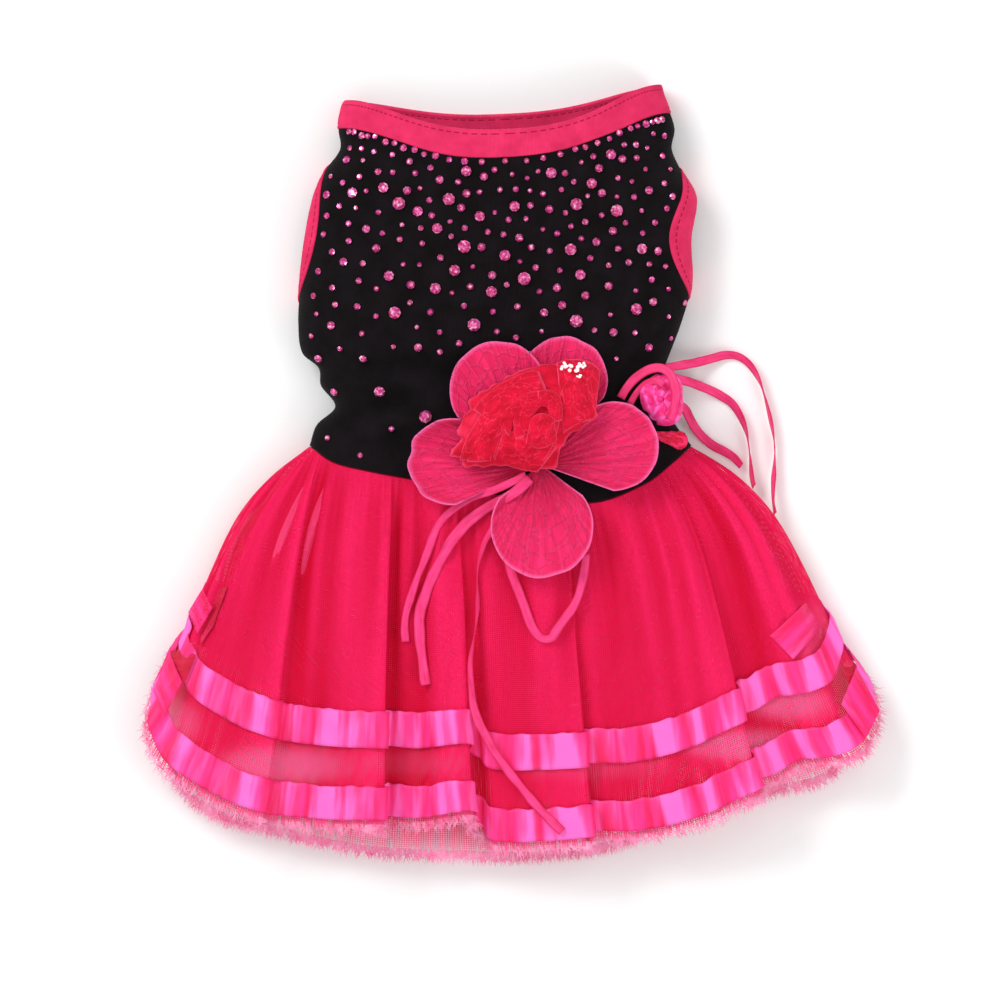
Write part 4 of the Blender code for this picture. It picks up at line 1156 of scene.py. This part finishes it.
def add_bodice():
    """Knit tube from the neck to the waist, with both leg holes."""
    columns, rows = BODY_COLUMNS, BODICE_ROWS
    turns = np.linspace(0, 360, columns, endpoint=False)
    places = np.zeros((rows, columns, 2))
    for column, turn in enumerate(turns):
        top = neck_edge(turn) - NECK_BAND - SEAM_GAP
        places[:, column, 0] = turn
        places[:, column, 1] = np.linspace(top, waist_edge(turn), rows)
    inside = np.zeros((rows, columns), bool)
    for _, turn, half_turn, down, half_length in ARMHOLES:
        middle = NECK_Y - down * BODICE_LENGTH
        around = (places[..., 0] - turn + 180) % 360 - 180
        along = places[..., 1] - middle
        reach = np.hypot(around / half_turn, along / (half_length * BODICE_LENGTH))
        hole = reach < HOLE_CUT
        snap = (reach < 1.0) & ~hole
        inside |= hole
        places[..., 0] = np.where(snap, places[..., 0] + around * (1 / reach - 1), places[..., 0])
        places[..., 1] = np.where(snap, middle + along / reach, places[..., 1])
    points = np.array([[body_point(turn, y) for turn, y in row] for row in places])
    for row in range(rows):
        for column in range(columns):
            x, y, z = points[row, column]
            uneven = KNIT_UNEVEN * soft_noise(x * 55, y * 55, 3.0)
            points[row, column, 2] += uneven * min(1.0, z / SIDE_HEIGHT)
    following = np.roll(inside, -1, 1)
    keep = ~(inside[:-1] | inside[1:] | following[:-1] | following[1:])
    widths = np.linspace(0, BODICE_GIRTH, columns + 1)
    lengths = np.linspace(0, BODICE_LENGTH, rows)
    mesh = sheet_mesh("bodice", points, widths, lengths, loop=True, keep=keep)
    piece = link("bodice", mesh, KNIT, "black_knit", "bodice")
    thicken(piece, KNIT_WALL)


def add_neck_binding():
    """Folded strip round the neck, its seam over the knit."""
    columns = BODY_COLUMNS
    turns = np.linspace(0, 360, columns, endpoint=False)
    rows = []
    length = NECK_BAND + SEAM_GAP + BINDING_OVERLAP
    for share, rise in reversed(BINDING_PROFILE):
        row = []
        for turn in turns:
            y = neck_edge(turn) - (1 - share) * length
            row.append(body_point(turn, y) + body_normal(turn, y) * rise)
        rows.append(row)
    widths = np.linspace(0, NECK_GIRTH, columns + 1)
    lengths = np.array([(1 - share) * length for share, _ in reversed(BINDING_PROFILE)])
    mesh = sheet_mesh("neck_binding", np.array(rows), widths, lengths, loop=True)
    piece = link("neck_binding", mesh, BINDING, "pink_binding", "neck_binding")
    thicken(piece, BINDING_WALL)


def armhole_point(hole, angle, lift, inset):
    """Point of a leg hole's strip: inset runs in from the hole's edge."""
    _, turn, half_turn, down, half_length = hole
    middle = NECK_Y - down * BODICE_LENGTH
    room = (body_point(turn + half_turn, middle) - body_point(turn - half_turn, middle)).length / 2
    place = turn + half_turn * (1 - ARMHOLE_TIGHTEN * inset / room) * cos(angle)
    y = middle + (half_length * BODICE_LENGTH - inset) * sin(angle)
    return body_point(place, y) + body_normal(place, y) * lift


def add_armhole_bindings():
    """Folded strips round the leg holes, their seams over the knit."""
    columns = LEG_HOLE_COLUMNS
    length = ARMHOLE_BAND + ARMHOLE_GAP + BINDING_OVERLAP
    for hole in ARMHOLES:
        rows = []
        for share, rise in BINDING_PROFILE:
            inset = share * length - BINDING_OVERLAP
            angles = [-2 * pi * column / columns for column in range(columns)]
            rows.append([armhole_point(hole, angle, rise, inset) for angle in angles])
        name = "armhole_binding_" + hole[0]
        widths = np.linspace(0, LEG_HOLE_GIRTH, columns + 1)
        lengths = np.array([share * length for share, _ in BINDING_PROFILE])
        mesh = sheet_mesh(name, np.array(rows), widths, lengths, loop=True)
        piece = link(name, mesh, BINDING, "pink_binding", name)
        thicken(piece, BINDING_WALL)


# Skirt

def fold_turns(folds, steps):
    """Turns at which the columns of a skirt layer stand, with steps to each fold."""
    turns = []
    for index, fold in enumerate(folds):
        following = folds[(index + 1) % len(folds)][0]
        if following < fold[0]:
            following += 360.0
        turns += [mixed(fold[0], following, step / steps) for step in range(steps)]
    return turns


def skirt_grid(folds, hem_height, turns, alongs, inset=0.0):
    """Grid of points on a skirt layer, gathered at the waist."""
    columns = [smooth_steps(folds, turn, 360.0) for turn in turns]
    starts = np.array([body_point(turn, waist_edge(turn) - SEAM_GAP - inset, inset) for turn in turns])
    spreads = np.array([smooth_steps(SPREAD, along) for along in alongs])
    across, down, lift = np.array(columns).T
    alongs = np.array(alongs)[:, None]
    x = starts[:, 0] + (across * HEM_HALF - starts[:, 0]) * spreads[:, :1]
    hem_y = WAIST_Y - down * SKIRT_LENGTH
    y = starts[:, 1] + (hem_y - starts[:, 1]) * spreads[:, 1:]
    z = starts[:, 2] + (lift * hem_height - starts[:, 2]) * alongs ** SKIRT_RISE_POWER
    floor = inset + SKIRT_REST * np.minimum(1.0, alongs / SKIRT_REST_REACH)
    points = np.stack([x, y, np.maximum(z, floor)], -1)

    # Gathers: waves round the waist, made uneven by slower ones
    around = np.radians(np.array(turns))
    fine = np.sin(FINE_GATHERS * around + 2.1 * np.sin(7 * around) + 1.3 * np.sin(17 * around))
    broad = np.sin(BROAD_GATHERS * around + 1.7 * np.sin(5 * around) + 0.9 * np.sin(11 * around))
    fades = np.array([smooth_steps(GATHER_FADE, along[0]) for along in alongs])
    rumple = np.array([
        [soft_noise(turn * 0.16, along[0] * 1.6, inset * 1000) for turn in turns] for along in alongs
    ])
    depth = broad * BROAD_DEPTH * fades[:, :1] + fine * FINE_DEPTH * fades[:, 1:]
    depth += rumple * RUMPLE_DEPTH * np.sin(pi * alongs) ** 0.5
    points += grid_normals(points, loop=True) * depth[..., None]
    points[..., 2] = np.maximum(points[..., 2], floor)
    return points


def painted_shade_and_sheer(points, hem_paleness):
    """Painted shade of each point, deeper in a fold's hollow and lighter on its crest, and how sheer the
    net is there.
    """
    height = points[..., 2]
    reach = len(height[0]) // SHADE_WINDOWS
    level = sum(np.roll(height, step, 1) for step in range(-reach, reach + 1)) / (2 * reach + 1)
    # Painted shade: darker below the level of the cloth round it, lighter above it.
    shade = np.clip(0.5 + (height - level) / SHADE_HEIGHT, 0, 1)
    sheer = np.zeros(height.shape)
    for x, y, half_x, half_y, share in SHEER_PATCHES:
        run = (points[..., 0] / MM - x) / half_x
        rise = (points[..., 1] / MM - y) / half_y
        sheer = np.maximum(sheer, share * np.exp(-((run * run + rise * rise) ** 2)))
    sheer *= points[..., 2] > SHEER_FLOOR
    sheer = np.maximum(sheer, np.array(hem_paleness)[:, None])
    return np.stack([shade, sheer], -1)


def cloth_widths(points):
    """Width of a closed layer's cloth at each column, taken two thirds of the way down it."""
    row = points[len(points) * 2 // 3]
    steps = np.linalg.norm(np.roll(row, -1, 0) - row, axis=1)
    return np.concatenate([[0.0], np.cumsum(steps)])


def add_skirt():
    """Gathered outer skirt, its two satin bands and the underskirt."""
    turns = fold_turns(SKIRT_FOLDS, SKIRT_STEPS)
    alongs = np.linspace(0, 1, SKIRT_ROWS)
    points = skirt_grid(SKIRT_FOLDS, FOLD_HEIGHT, turns, alongs)
    widths = cloth_widths(points)
    paleness = [smooth_steps(HEM_PALENESS, along)[0] for along in alongs]
    # Painted shade in the folds' hollows and painted light on their crests, with the sheer places.
    shade_and_sheer = painted_shade_and_sheer(points, paleness)
    mesh = sheet_mesh("skirt_outer", points, widths, alongs * SKIRT_LENGTH, loop=True, shade_and_sheer=shade_and_sheer)
    skirt = link("skirt_outer", mesh, NET, "pink_mesh", "skirt_outer")

    for name, (top, bottom) in (("ribbon_band_upper", BAND_UPPER), ("ribbon_band_lower", BAND_LOWER)):
        shares = np.linspace(0, 1, 11)
        rows = skirt_grid(SKIRT_FOLDS, FOLD_HEIGHT, turns, mixed(top, bottom, shares))
        normals = grid_normals(rows, loop=True)
        pucker = np.array([
            [1 - 2 * abs(soft_noise(width * 170, share * 0.9, top * 40)) for width in widths[:-1]]
            for share in shares
        ])
        edge = np.array([[soft_noise(width * 260, 0.0, top * 90) for width in widths[:-1]]])
        rows += normals * (BAND_LIFT + PUCKER_DEPTH * pucker)[..., None]
        rows[..., 1] += edge * BAND_EDGE_WAVE * (1 - shares)[:, None]
        mesh = sheet_mesh(name, rows, widths, shares * (bottom - top) * SKIRT_LENGTH, loop=True)
        band = link(name, mesh, BAND_SATIN, "satin_ribbon", name)
        thicken(band, SATIN_WALL, 1.0)

    under_turns = fold_turns(UNDERSKIRT_HEM, UNDERSKIRT_STEPS)
    under = skirt_grid(UNDERSKIRT_HEM, UNDERSKIRT_HEM_HEIGHT, under_turns, alongs, UNDERSKIRT_INSET)
    widths = cloth_widths(under)
    # Painted shade and sheer places of the underskirt.
    shade_and_sheer = painted_shade_and_sheer(under, paleness)
    mesh = sheet_mesh("underskirt", under, widths, alongs * SKIRT_LENGTH, loop=True, shade_and_sheer=shade_and_sheer)
    underskirt = link("underskirt", mesh, PALE_NET, "pale_mesh", "underskirt")
    add_frayed_hem("frayed_hem", under[-1], under[-6], HEM_THREADS)
    add_frayed_hem("frayed_skirt", points[-1], points[-4], SKIRT_THREADS)
    add_band_turns(points)


def lay_over(sheet, layer, lift):
    """Lay a small sheet over the upper side of a skirt layer."""
    upper = layer.reshape(-1, 3)
    upper = upper[upper[:, 2] > SHEER_FLOOR]
    for row in sheet:
        for point in row:
            distances = np.hypot(upper[:, 0] - point[0], upper[:, 1] - point[1])
            nearest = np.argpartition(distances, LAY_POINTS)[:LAY_POINTS]
            point[2] += upper[nearest, 2].mean() + lift


def add_band_turns(skirt):
    """Ends of the satin bands that turn over at the sides of the skirt, their insides in satin with
    painted shade.
    """
    for name, first, second, lift, bulge, in_shade in BAND_TURNS:
        first, second = (
            (start, tuple(mixed(a, b, 0.5) for a, b in zip(start, end)), end)
            for start, end in (first, second)
        )
        points, shares = fold_points(first, second, Vector((0, 0, 0)), bulge, lift, 0.1)
        lay_over(points, skirt, lift * MM)
        mesh = sheet_mesh(name, points, shares * 0.011, shares * 0.024)
        # Insides get the shaded satin: painted shade.
        piece = link(name, mesh, SHADED_SATIN if in_shade else BAND_SATIN, "satin_ribbon")
        thicken(piece, SATIN_WALL, 0.0)


def add_frayed_hem(name, hem, inner, threads):
    """Loose threads that stand out from the cut edge of a layer."""
    chance = random.Random(threads)
    vertices, faces = [], []
    count = len(hem)
    for _ in range(threads):
        place = chance.random() * count
        column = int(place)
        start = mixed(hem[column], hem[(column + 1) % count], place - column)
        if start[2] < THREAD_FLOOR:
            continue
        outward = start - inner[column]
        outward[2] = 0
        outward /= np.linalg.norm(outward)
        lean = radians(chance.gauss(0, THREAD_LEAN))
        aim = np.array([
            outward[0] * cos(lean) - outward[1] * sin(lean),
            outward[0] * sin(lean) + outward[1] * cos(lean),
            0,
        ])
        side = np.array([-aim[1], aim[0], 0]) * THREAD_WIDTH / 2
        reach = chance.uniform(*THREAD_REACH)
        root = start - aim * THREAD_ROOT
        droop = np.array([0, 0, chance.uniform(-1.0, 0.4) * MM])
        bend = start + aim * reach * 0.5 + side * chance.uniform(-4, 4)
        tip = start + aim * reach + droop
        first = len(vertices)
        vertices += [root - side, root + side, bend + side, bend - side, tip]
        faces += [(first, first + 1, first + 2, first + 3), (first + 3, first + 2, first + 4)]
    mesh = bpy.data.meshes.new(name)
    mesh.from_pydata([tuple(vertex) for vertex in vertices], [], faces)
    link(name, mesh, FRAYED, "pale_mesh")


# Flower

def petal_rim(side, reach, width):
    """Direction and distance of a petal's rim from its root: a round tip and straight sides."""
    tip = width / 2
    middle = max(reach - tip, tip)
    angle = side * PETAL_SPREAD * math.asin(tip / middle)
    offset = middle * sin(angle)
    return angle, (middle * cos(angle) + math.sqrt(tip * tip - offset * offset)) * reach / (middle + tip)


def add_petal(name, centre, aim, reach, width, tip_lift, wave, curl, material, slot):
    """Cloth petal lying out from the flower's middle, creased out from its root."""
    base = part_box(name)[0].z + 0.3 * MM
    rows = []
    shares = np.sin(np.linspace(0, pi / 2, PETAL_ROWS)) * 0.998
    sides = np.linspace(-1, 1, PETAL_COLUMNS)
    for share in shares:
        row = []
        for side in sides:
            angle, rim = petal_rim(side, reach, width)
            rim *= 1 + PETAL_RAGGED * wave * soft_noise(side * 4, 0.0, aim)
            radius = mixed(PETAL_ROOT, rim, share)
            crease = abs(sin(side * PETAL_CREASES + 2.5 * soft_noise(side * 3, share * 1.5, aim)))
            ridges = (0.5 - crease) * PETAL_CREASE * min(1.0, share * 3)
            ridges += sin(side * PETAL_PLEATS + aim) * PETAL_PLEAT * share
            droop = soft_noise(side * 1.6, share * 2.4, aim + 5) * wave * PETAL_WAVE * min(1.0, share * 2)
            rolled = curl * max(0.0, (share - CURL_START) / (1 - CURL_START)) ** 2
            cupped = tip_lift * share ** 2 + PETAL_CUP * side * side * share
            height = base + cupped + ridges + droop + rolled
            direction = angle + radians(aim)
            row.append((centre[0] + radius * cos(direction), centre[1] + radius * sin(direction), height))
        rows.append(row)
    mesh = sheet_mesh(name, np.array(rows), (sides + 1) / 2, 0.5 + shares / 2)
    piece = link(name, mesh, material, slot, name)
    thicken(piece, PETAL_WALL, 1.0)


def add_flower():
    """Five crepe petals and the organza rose over their roots."""
    for name, aim, reach, width, tip_lift, wave, curl in PETALS:
        add_petal(name, FLOWER_CENTRE, aim, reach, width, tip_lift, wave, curl, CREPE, "crepe_petal")
    add_rose()


# Outline of the rose as in the part: turn in degrees from +X, reach of ROSE_REACH
ROSE_OUTLINE = [
    # turn, reach
    (-27, 0.50),
    (-4, 0.74),
    (19, 0.86),
    (33, 0.95),
    (48, 0.84),
    (68, 0.66),
    (92, 0.56),
    (115, 0.53),
    (140, 0.57),
    (165, 0.70),
    (191, 0.84),
    (216, 1.00),
    (232, 0.72),
    (261, 0.61),
    (291, 0.67),
    (312, 0.54),
]

# Organza folds of the rose by piece, in millimetres from ROSE_CENTRE and off its
# cushion: each lies over the one before, from its first side to its second
ROSE_FOLDS = {
    "rose_outer": [
        # first_side, second_side, lift, bulge
        (((-26.5, -17.0), (-22.8, -6.9), (-13.7, 7.0)),
         ((-13.7, -17.0), (-10.2, -6.9), (-1.9, 3.8)), 0.4, 1.8),
        (((10.0, 19.8), (19.5, 21.0), (26.6, 16.9)),
         ((12.4, -6.9), (18.3, -3.3), (24.3, -1.5)), 0.6, 1.6),
        (((-21.5, 2.0), (-11.4, 11.5), (2.9, 17.4)),
         ((-13.7, -3.3), (-7.8, 3.8), (6.5, 8.6)), 0.7, 1.8),
        (((-13.7, -17.0), (-5.4, -20.0), (2.9, -21.4)),
         ((-10.2, -6.9), (-1.9, -7.0), (10.0, -12.2)), 0.5, 2.0),
    ],
    "rose_middle": [
        # first_side, second_side, lift, bulge
        (((-23.8, -17.6), (-20.9, -6.9), (-19.1, -3.9)),
         ((-14.9, -17.6), (-14.9, -9.3), (-16.7, -6.3)), 1.0, 1.4),
        (((12.6, 17.5), (13.4, 8.0), (12.4, -1.5)),
         ((23.2, 18.0), (23.6, 8.0), (22.4, -2.0)), 1.1, 1.4),
        (((-13.7, -1.0), (-8.4, 5.8), (-1.0, 10.0)),
         ((-8.0, -8.0), (-3.8, 0.5), (5.0, 5.5)), 1.5, 1.8),
        (((-8.0, -15.5), (-3.0, -10.0), (-2.0, 0.0)),
         ((5.0, -17.0), (9.0, -10.0), (11.0, -1.0)), 1.4, 1.8),
    ],
    "rose_heart": [
        # first_side, second_side, lift, bulge
        (((-5.4, -9.3), (-5.2, 3.8), (2.9, 9.0)),
         ((2.0, -6.0), (1.5, 0.0), (5.0, 4.0)), 2.2, 1.6),
        (((2.9, 9.0), (10.5, 7.5), (11.8, -2.1)),
         ((3.0, 3.0), (6.5, 2.5), (7.0, -3.0)), 2.7, 1.6),
        (((-1.5, -10.5), (4.0, -12.5), (10.0, -9.5)),
         ((0.0, -2.0), (4.0, 0.5), (9.0, -1.5)), 3.2, 1.6),
    ],
}
ROSE_GLITTER = [
    # x, y, size
    (12.5, 18.0, 2.6),
    (16.5, 17.4, 3.0),
    (19.8, 18.6, 2.4),
    (18.6, 14.6, 1.6),
]

# Satin folds round the bud, corners in millimetres from its middle
BUD_FOLDS = [
    # first_side, second_side, lift, bulge
    (((-7.0, -4.0), (-8.0, 4.0), (-2.0, 9.5)), ((-2.0, -7.0), (-2.0, 1.0), (2.0, 8.0)), 1.0, 4.0),
    (((-2.0, -9.5), (6.0, -8.0), (7.5, 2.0)), ((-3.0, -4.0), (2.0, -2.0), (3.0, 6.0)), 1.5, 4.0),
    (((-1.0, 9.0), (6.0, 8.0), (7.5, 0.0)), ((-2.0, 3.0), (2.0, 3.5), (3.5, -1.0)), 2.0, 4.0),
    (((-4.0, -3.0), (-4.0, 3.0), (0.0, 5.0)), ((0.5, -3.5), (0.5, 0.5), (2.5, 3.0)), 3.5, 3.0),
]


def arc_point(side, share):
    """Point a share of the way along a curved side given by three points."""
    first, middle, last = (Vector(point) for point in side)
    control = 2 * middle - (first + last) / 2
    return first.lerp(control, share).lerp(control.lerp(last, share), share)


def crumple_at(x, y, creases, seeds):
    """Share by which crumpled cloth stands up at a place: coarse and fine creases to the metre."""
    coarse, fine = (abs(soft_noise(x * often, y * often, seed)) for often, seed in zip(creases, seeds))
    return 1 - coarse * 3 + 0.5 - fine * 2


def fold_points(first, second, origin, bulge, seed, roughness=0.5):
    """Crumpled sheet between two curved sides, given in millimetres from an origin."""
    shares = np.linspace(0, 1, FOLD_STEPS)
    rows = []
    for over in shares:
        row = []
        for along in shares:
            flat = arc_point(first, along).lerp(arc_point(second, along), over) * MM
            crown = (sin(pi * over) * sin(pi * along)) ** 0.5
            crumple = crumple_at(flat.x, flat.y, (160, 330), (seed, seed + 9))
            height = origin.z + bulge * MM * crown + crumple * roughness * MM * (0.4 + crown)
            row.append((origin.x + flat.x, origin.y + flat.y, height))
        rows.append(row)
    return np.array(rows), shares


def dome_height(x, y):
    """Height of the rose's cushion at a place measured from its middle."""
    reach = ROSE_REACH * smooth_steps(ROSE_OUTLINE, math.degrees(math.atan2(y, x)) % 360.0, 360.0)[0]
    flat, steep = ROSE_DOME_POWERS
    return ROSE_HEIGHT * (1 - min(1.0, math.hypot(x, y) / reach) ** flat) ** steep


def rose_dome(origin):
    """Crumpled cushion of organza under the rose's folds."""
    turns = np.linspace(0, 360, 120, endpoint=False)
    shares = np.sin(np.linspace(0.02, pi / 2, 50))
    rows = []
    for share in shares:
        row = []
        for turn in turns:
            reach = ROSE_REACH * smooth_steps(ROSE_OUTLINE, turn, 360.0)[0] * share
            x, y = reach * cos(radians(turn)), reach * sin(radians(turn))
            crumple = crumple_at(x, y, (170, 380), (2.0, 5.0))
            ragged = 1 + ROSE_RAGGED * soft_noise(x * 260, y * 260, 7.0) * share
            height = dome_height(x, y) + crumple * ROSE_CRUMPLE
            row.append((origin.x + x * ragged, origin.y + y * ragged, origin.z + height))
        rows.append(row)
    widths = np.linspace(0.1, 0.9, len(turns) + 1)
    return sheet_mesh("dome", np.array(rows), widths, 0.5 + shares * 0.49, loop=True)


def join_sheets(name, sheets):
    """One mesh of several sheets, which it takes the place of."""
    joined = bmesh.new()
    for sheet in sheets:
        joined.from_mesh(sheet)
        bpy.data.meshes.remove(sheet)
    mesh = bpy.data.meshes.new(name)
    joined.to_mesh(mesh)
    joined.free()
    return mesh


def add_rose():
    """Rose of crumpled organza: a cushion with folds over it, in three nested pieces."""
    origin = ROSE_CENTRE.copy()
    origin.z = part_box("rose_outer")[0].z
    seed = 0
    for name, folds in ROSE_FOLDS.items():
        sheets = [rose_dome(origin)] if name == "rose_outer" else []
        for first, second, lift, bulge in folds:
            place = origin + Vector((0, 0, lift * MM))
            points, shares = fold_points(first, second, place, bulge, seed)
            for point in points.reshape(-1, 3):
                point[2] += dome_height(point[0] - origin.x, point[1] - origin.y)
            sheets.append(sheet_mesh("fold", points, shares, shares))
            seed += 1
        piece = link(name, join_sheets(name, sheets), ORGANZA, "red_organza", name)
        thicken(piece, ORGANZA_WALL, 0.0)
    add_sparkle(origin)


def add_sparkle(origin):
    """Loose silver glitter caught in the rose's flap."""
    chance = random.Random(8)
    mesh = bmesh.new()
    for x, y, size in ROSE_GLITTER:
        for _ in range(GLITTER_GRAINS):
            across = (x + chance.gauss(0, size / 2.6)) * MM
            place = Vector((across, (y + chance.gauss(0, size / 4)) * MM, 0))
            place.z = dome_height(place.x, place.y) + GLITTER_HEIGHT
            place += origin
            tilt = Vector((chance.gauss(0, 0.3), chance.gauss(0, 0.3), 1)).normalized()
            add_cut_stone(mesh, place, tilt, size * 0.5 * MM)
    data = bpy.data.meshes.new("rose_glitter")
    mesh.to_mesh(data)
    mesh.free()
    link("rose_glitter", data, GLITTER, "cut_stone")


def add_rosebud():
    """Satin bud of wrapped folds, and the leaf under it."""
    low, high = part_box("rosebud")
    middle, half = (low + high) / 2, (high - low) / 2
    rows = []
    tilts = np.linspace(0.02, 0.98, 48)
    turns = np.linspace(0, 2 * pi, 72, endpoint=False)
    for tilt in tilts:
        row = []
        for turn in turns:
            crumple = 1 + BUD_CRUMPLE * soft_noise(3 * cos(turn), 3 * sin(turn), tilt * 5)
            radius = sin(pi * tilt) ** BUD_ROUNDNESS * crumple * BUD_FIT
            row.append((
                middle.x + half.x * radius * cos(turn),
                middle.y + half.y * radius * sin(turn),
                middle.z + half.z * cos(pi * tilt) * 0.85,
            ))
        rows.append(row)
    widths = np.linspace(0, BUD_GIRTH, len(turns) + 1)
    sheets = [sheet_mesh("ball", np.array(rows), widths, tilts * BUD_GIRTH / 2, loop=True)]
    for seed, (first, second, lift, bulge) in enumerate(BUD_FOLDS):
        place = Vector((middle.x, middle.y, middle.z + lift * MM))
        points, shares = fold_points(first, second, place, bulge, seed + 30, 0.3)
        sheets.append(sheet_mesh("fold", points, shares * 0.012, shares * 0.018))
    mesh = join_sheets("rosebud", sheets)
    piece = link("rosebud", mesh, BUD_SATIN, "bud_satin", "rosebud")
    thicken(piece, ORGANZA_WALL, 0.0)
    add_petal("rosebud_leaf", LEAF_ROOT, LEAF_AIM, LEAF_REACH, LEAF_WIDTH, 0.0, 0.4, 0.3 * MM, LEAF_SATIN,
              "bud_satin")


# Stones

def add_cut_stone(mesh, place, normal, size):
    """Add one cut stone with a table and eight crown facets to a mesh."""
    turned = normal.to_track_quat("Z", "Y").to_matrix()
    rings = []
    for radius, height in ((0.5, 0.0), (0.5, 0.12), (0.28, 0.36)):
        ring = []
        for corner in range(8):
            angle = pi / 4 * corner
            local = Vector((size * radius * cos(angle), size * radius * sin(angle), size * height))
            ring.append(mesh.verts.new(place + turned @ local))
        rings.append(ring)
    mesh.faces.new(reversed(rings[0]))
    mesh.faces.new(rings[-1])
    for lower, upper in zip(rings, rings[1:]):
        for corner in range(8):
            following = (corner + 1) % 8
            mesh.faces.new((lower[corner], lower[following], upper[following], upper[corner]))


def stone_spacing(down):
    """Room between small stones at a share of the bodice's length."""
    if down > WAIST_STONES:
        return WAIST_SPACING
    return mixed(*STONE_SPACING, min(1.0, down / STONE_FIELD) ** 1.3)


def near_leg_hole(turn, down):
    """Whether a place on the bodice lies in a leg hole or on its binding."""
    for _, centre, half_turn, middle, half_length in ARMHOLES:
        aside = ((turn - centre + 180) % 360 - 180) / (half_turn * HOLE_MARGIN)
        if aside * aside + ((down - middle) / (half_length * HOLE_MARGIN)) ** 2 < 1:
            return True
    return False


def add_stones():
    """Small stones: a close row along the neck seam and a field that thins to the waist."""
    chance = random.Random(4)
    main = []
    for number in range(1, SET_STONES + 1):
        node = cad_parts[f"stone_{number:02d}"]
        low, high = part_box(node.name)
        main.append(((low + high) / 2).xy)
        node.data.materials.clear()
        node.data.materials.append(STONE)
        node.data.shade_flat()
    mesh = bmesh.new()
    placed = list(main)

    def seat(x, y, size):
        turn = turn_at(x, y)
        normal = body_normal(turn, y)
        add_cut_stone(mesh, body_point(turn, y) + normal * STONE_SEAT, normal, size)
        placed.append(Vector((x, y)))

    for step in range(SEAM_STONES):
        turn = mixed(24, 156, (step + chance.uniform(-0.12, 0.12)) / (SEAM_STONES - 1))
        y = neck_edge(turn) - NECK_BAND - chance.uniform(2.4, 3.6) * MM
        seat(body_point(turn, y).x, y, chance.uniform(*SEAM_SIZES) * MM)
    for _ in range(STONE_TRIES):
        x = chance.uniform(-1.05, 0.95) * CHEST_HALF
        down = chance.uniform(0.08, 1.08)
        y = NECK_Y - down * BODICE_LENGTH
        turn = turn_at(x, y)
        if not STONE_TURNS[0] < turn < STONE_TURNS[1] or near_leg_hole(turn, down):
            continue
        if y > neck_edge(turn) - NECK_BAND - 5 * MM or y < waist_edge(turn) + 4 * MM:
            continue
        room = stone_spacing(down)
        if any((other - Vector((x, y))).length < room for other in placed):
            continue
        seat(x, y, chance.choice(FIELD_SIZES) * MM)
    data = bpy.data.meshes.new("small_stones")
    mesh.to_mesh(data)
    mesh.free()
    link("small_stones", data, STONE, "cut_stone")


# The whole scene

WEAVE = make_weave_group()
MOTTLE = make_mottle_group()
RIM = make_rim_group()
STREAKS = make_streak_group()
STITCHES = make_stitch_group()
VEINS = make_vein_group()
FRAY = make_fray_group()

KNIT = make_knit()
BINDING = make_binding()
# Net colours: painted shade in the folds, painted light on their crests, the sheer colour, and the thread
# share.
NET = make_net("pink_net", (0.58, 0.002, 0.024), (1.0, 0.022, 0.145), (0.95, 0.12, 0.33), 0.60)
PALE_NET = make_net("pale_net", (0.80, 0.022, 0.10), (0.98, 0.08, 0.25), (0.95, 0.30, 0.53), 0.46)
FRAYED = make_thread()
# Satin colours: deep with painted shade, middle, and painted highlight; then the sizes of the highlight
# streaks.
BAND_SATIN = make_satin(
    "band_satin", (0.82, 0.010, 0.10), (0.98, 0.040, 0.28), (1.0, 0.15, 0.58), 90.0, 9.0,
)
# Shaded copy of the band satin for the turned ends' insides: painted shade.
SHADED_SATIN = make_satin(
    "shaded_satin", (0.52, 0.004, 0.035), (0.66, 0.008, 0.055), (0.74, 0.015, 0.10), 130.0, 14.0,
)
BUD_SATIN = make_satin(
    "bud_satin", (0.80, 0.014, 0.15), (0.96, 0.045, 0.30), (1.0, 0.14, 0.55), 260.0, 120.0,
)
LEAF_SATIN = make_satin(
    "leaf_satin", (0.60, 0.005, 0.03), (0.78, 0.010, 0.06), (0.92, 0.03, 0.16), 3.0, 9.0,
)
NARROW_SATIN = make_narrow_satin()
CREPE = make_crepe()
ORGANZA = make_organza()
STONE = make_stone()
GLITTER = make_glitter()

add_camera()
for ribbon in ROUTES:
    add_ribbon(ribbon, RIBBON_WIDTH * RIBBON_SHARES.get(ribbon, 1.0))
add_studio()
add_bodice()
add_neck_binding()
add_armhole_bindings()
add_skirt()
add_flower()
add_rosebud()
add_stones()
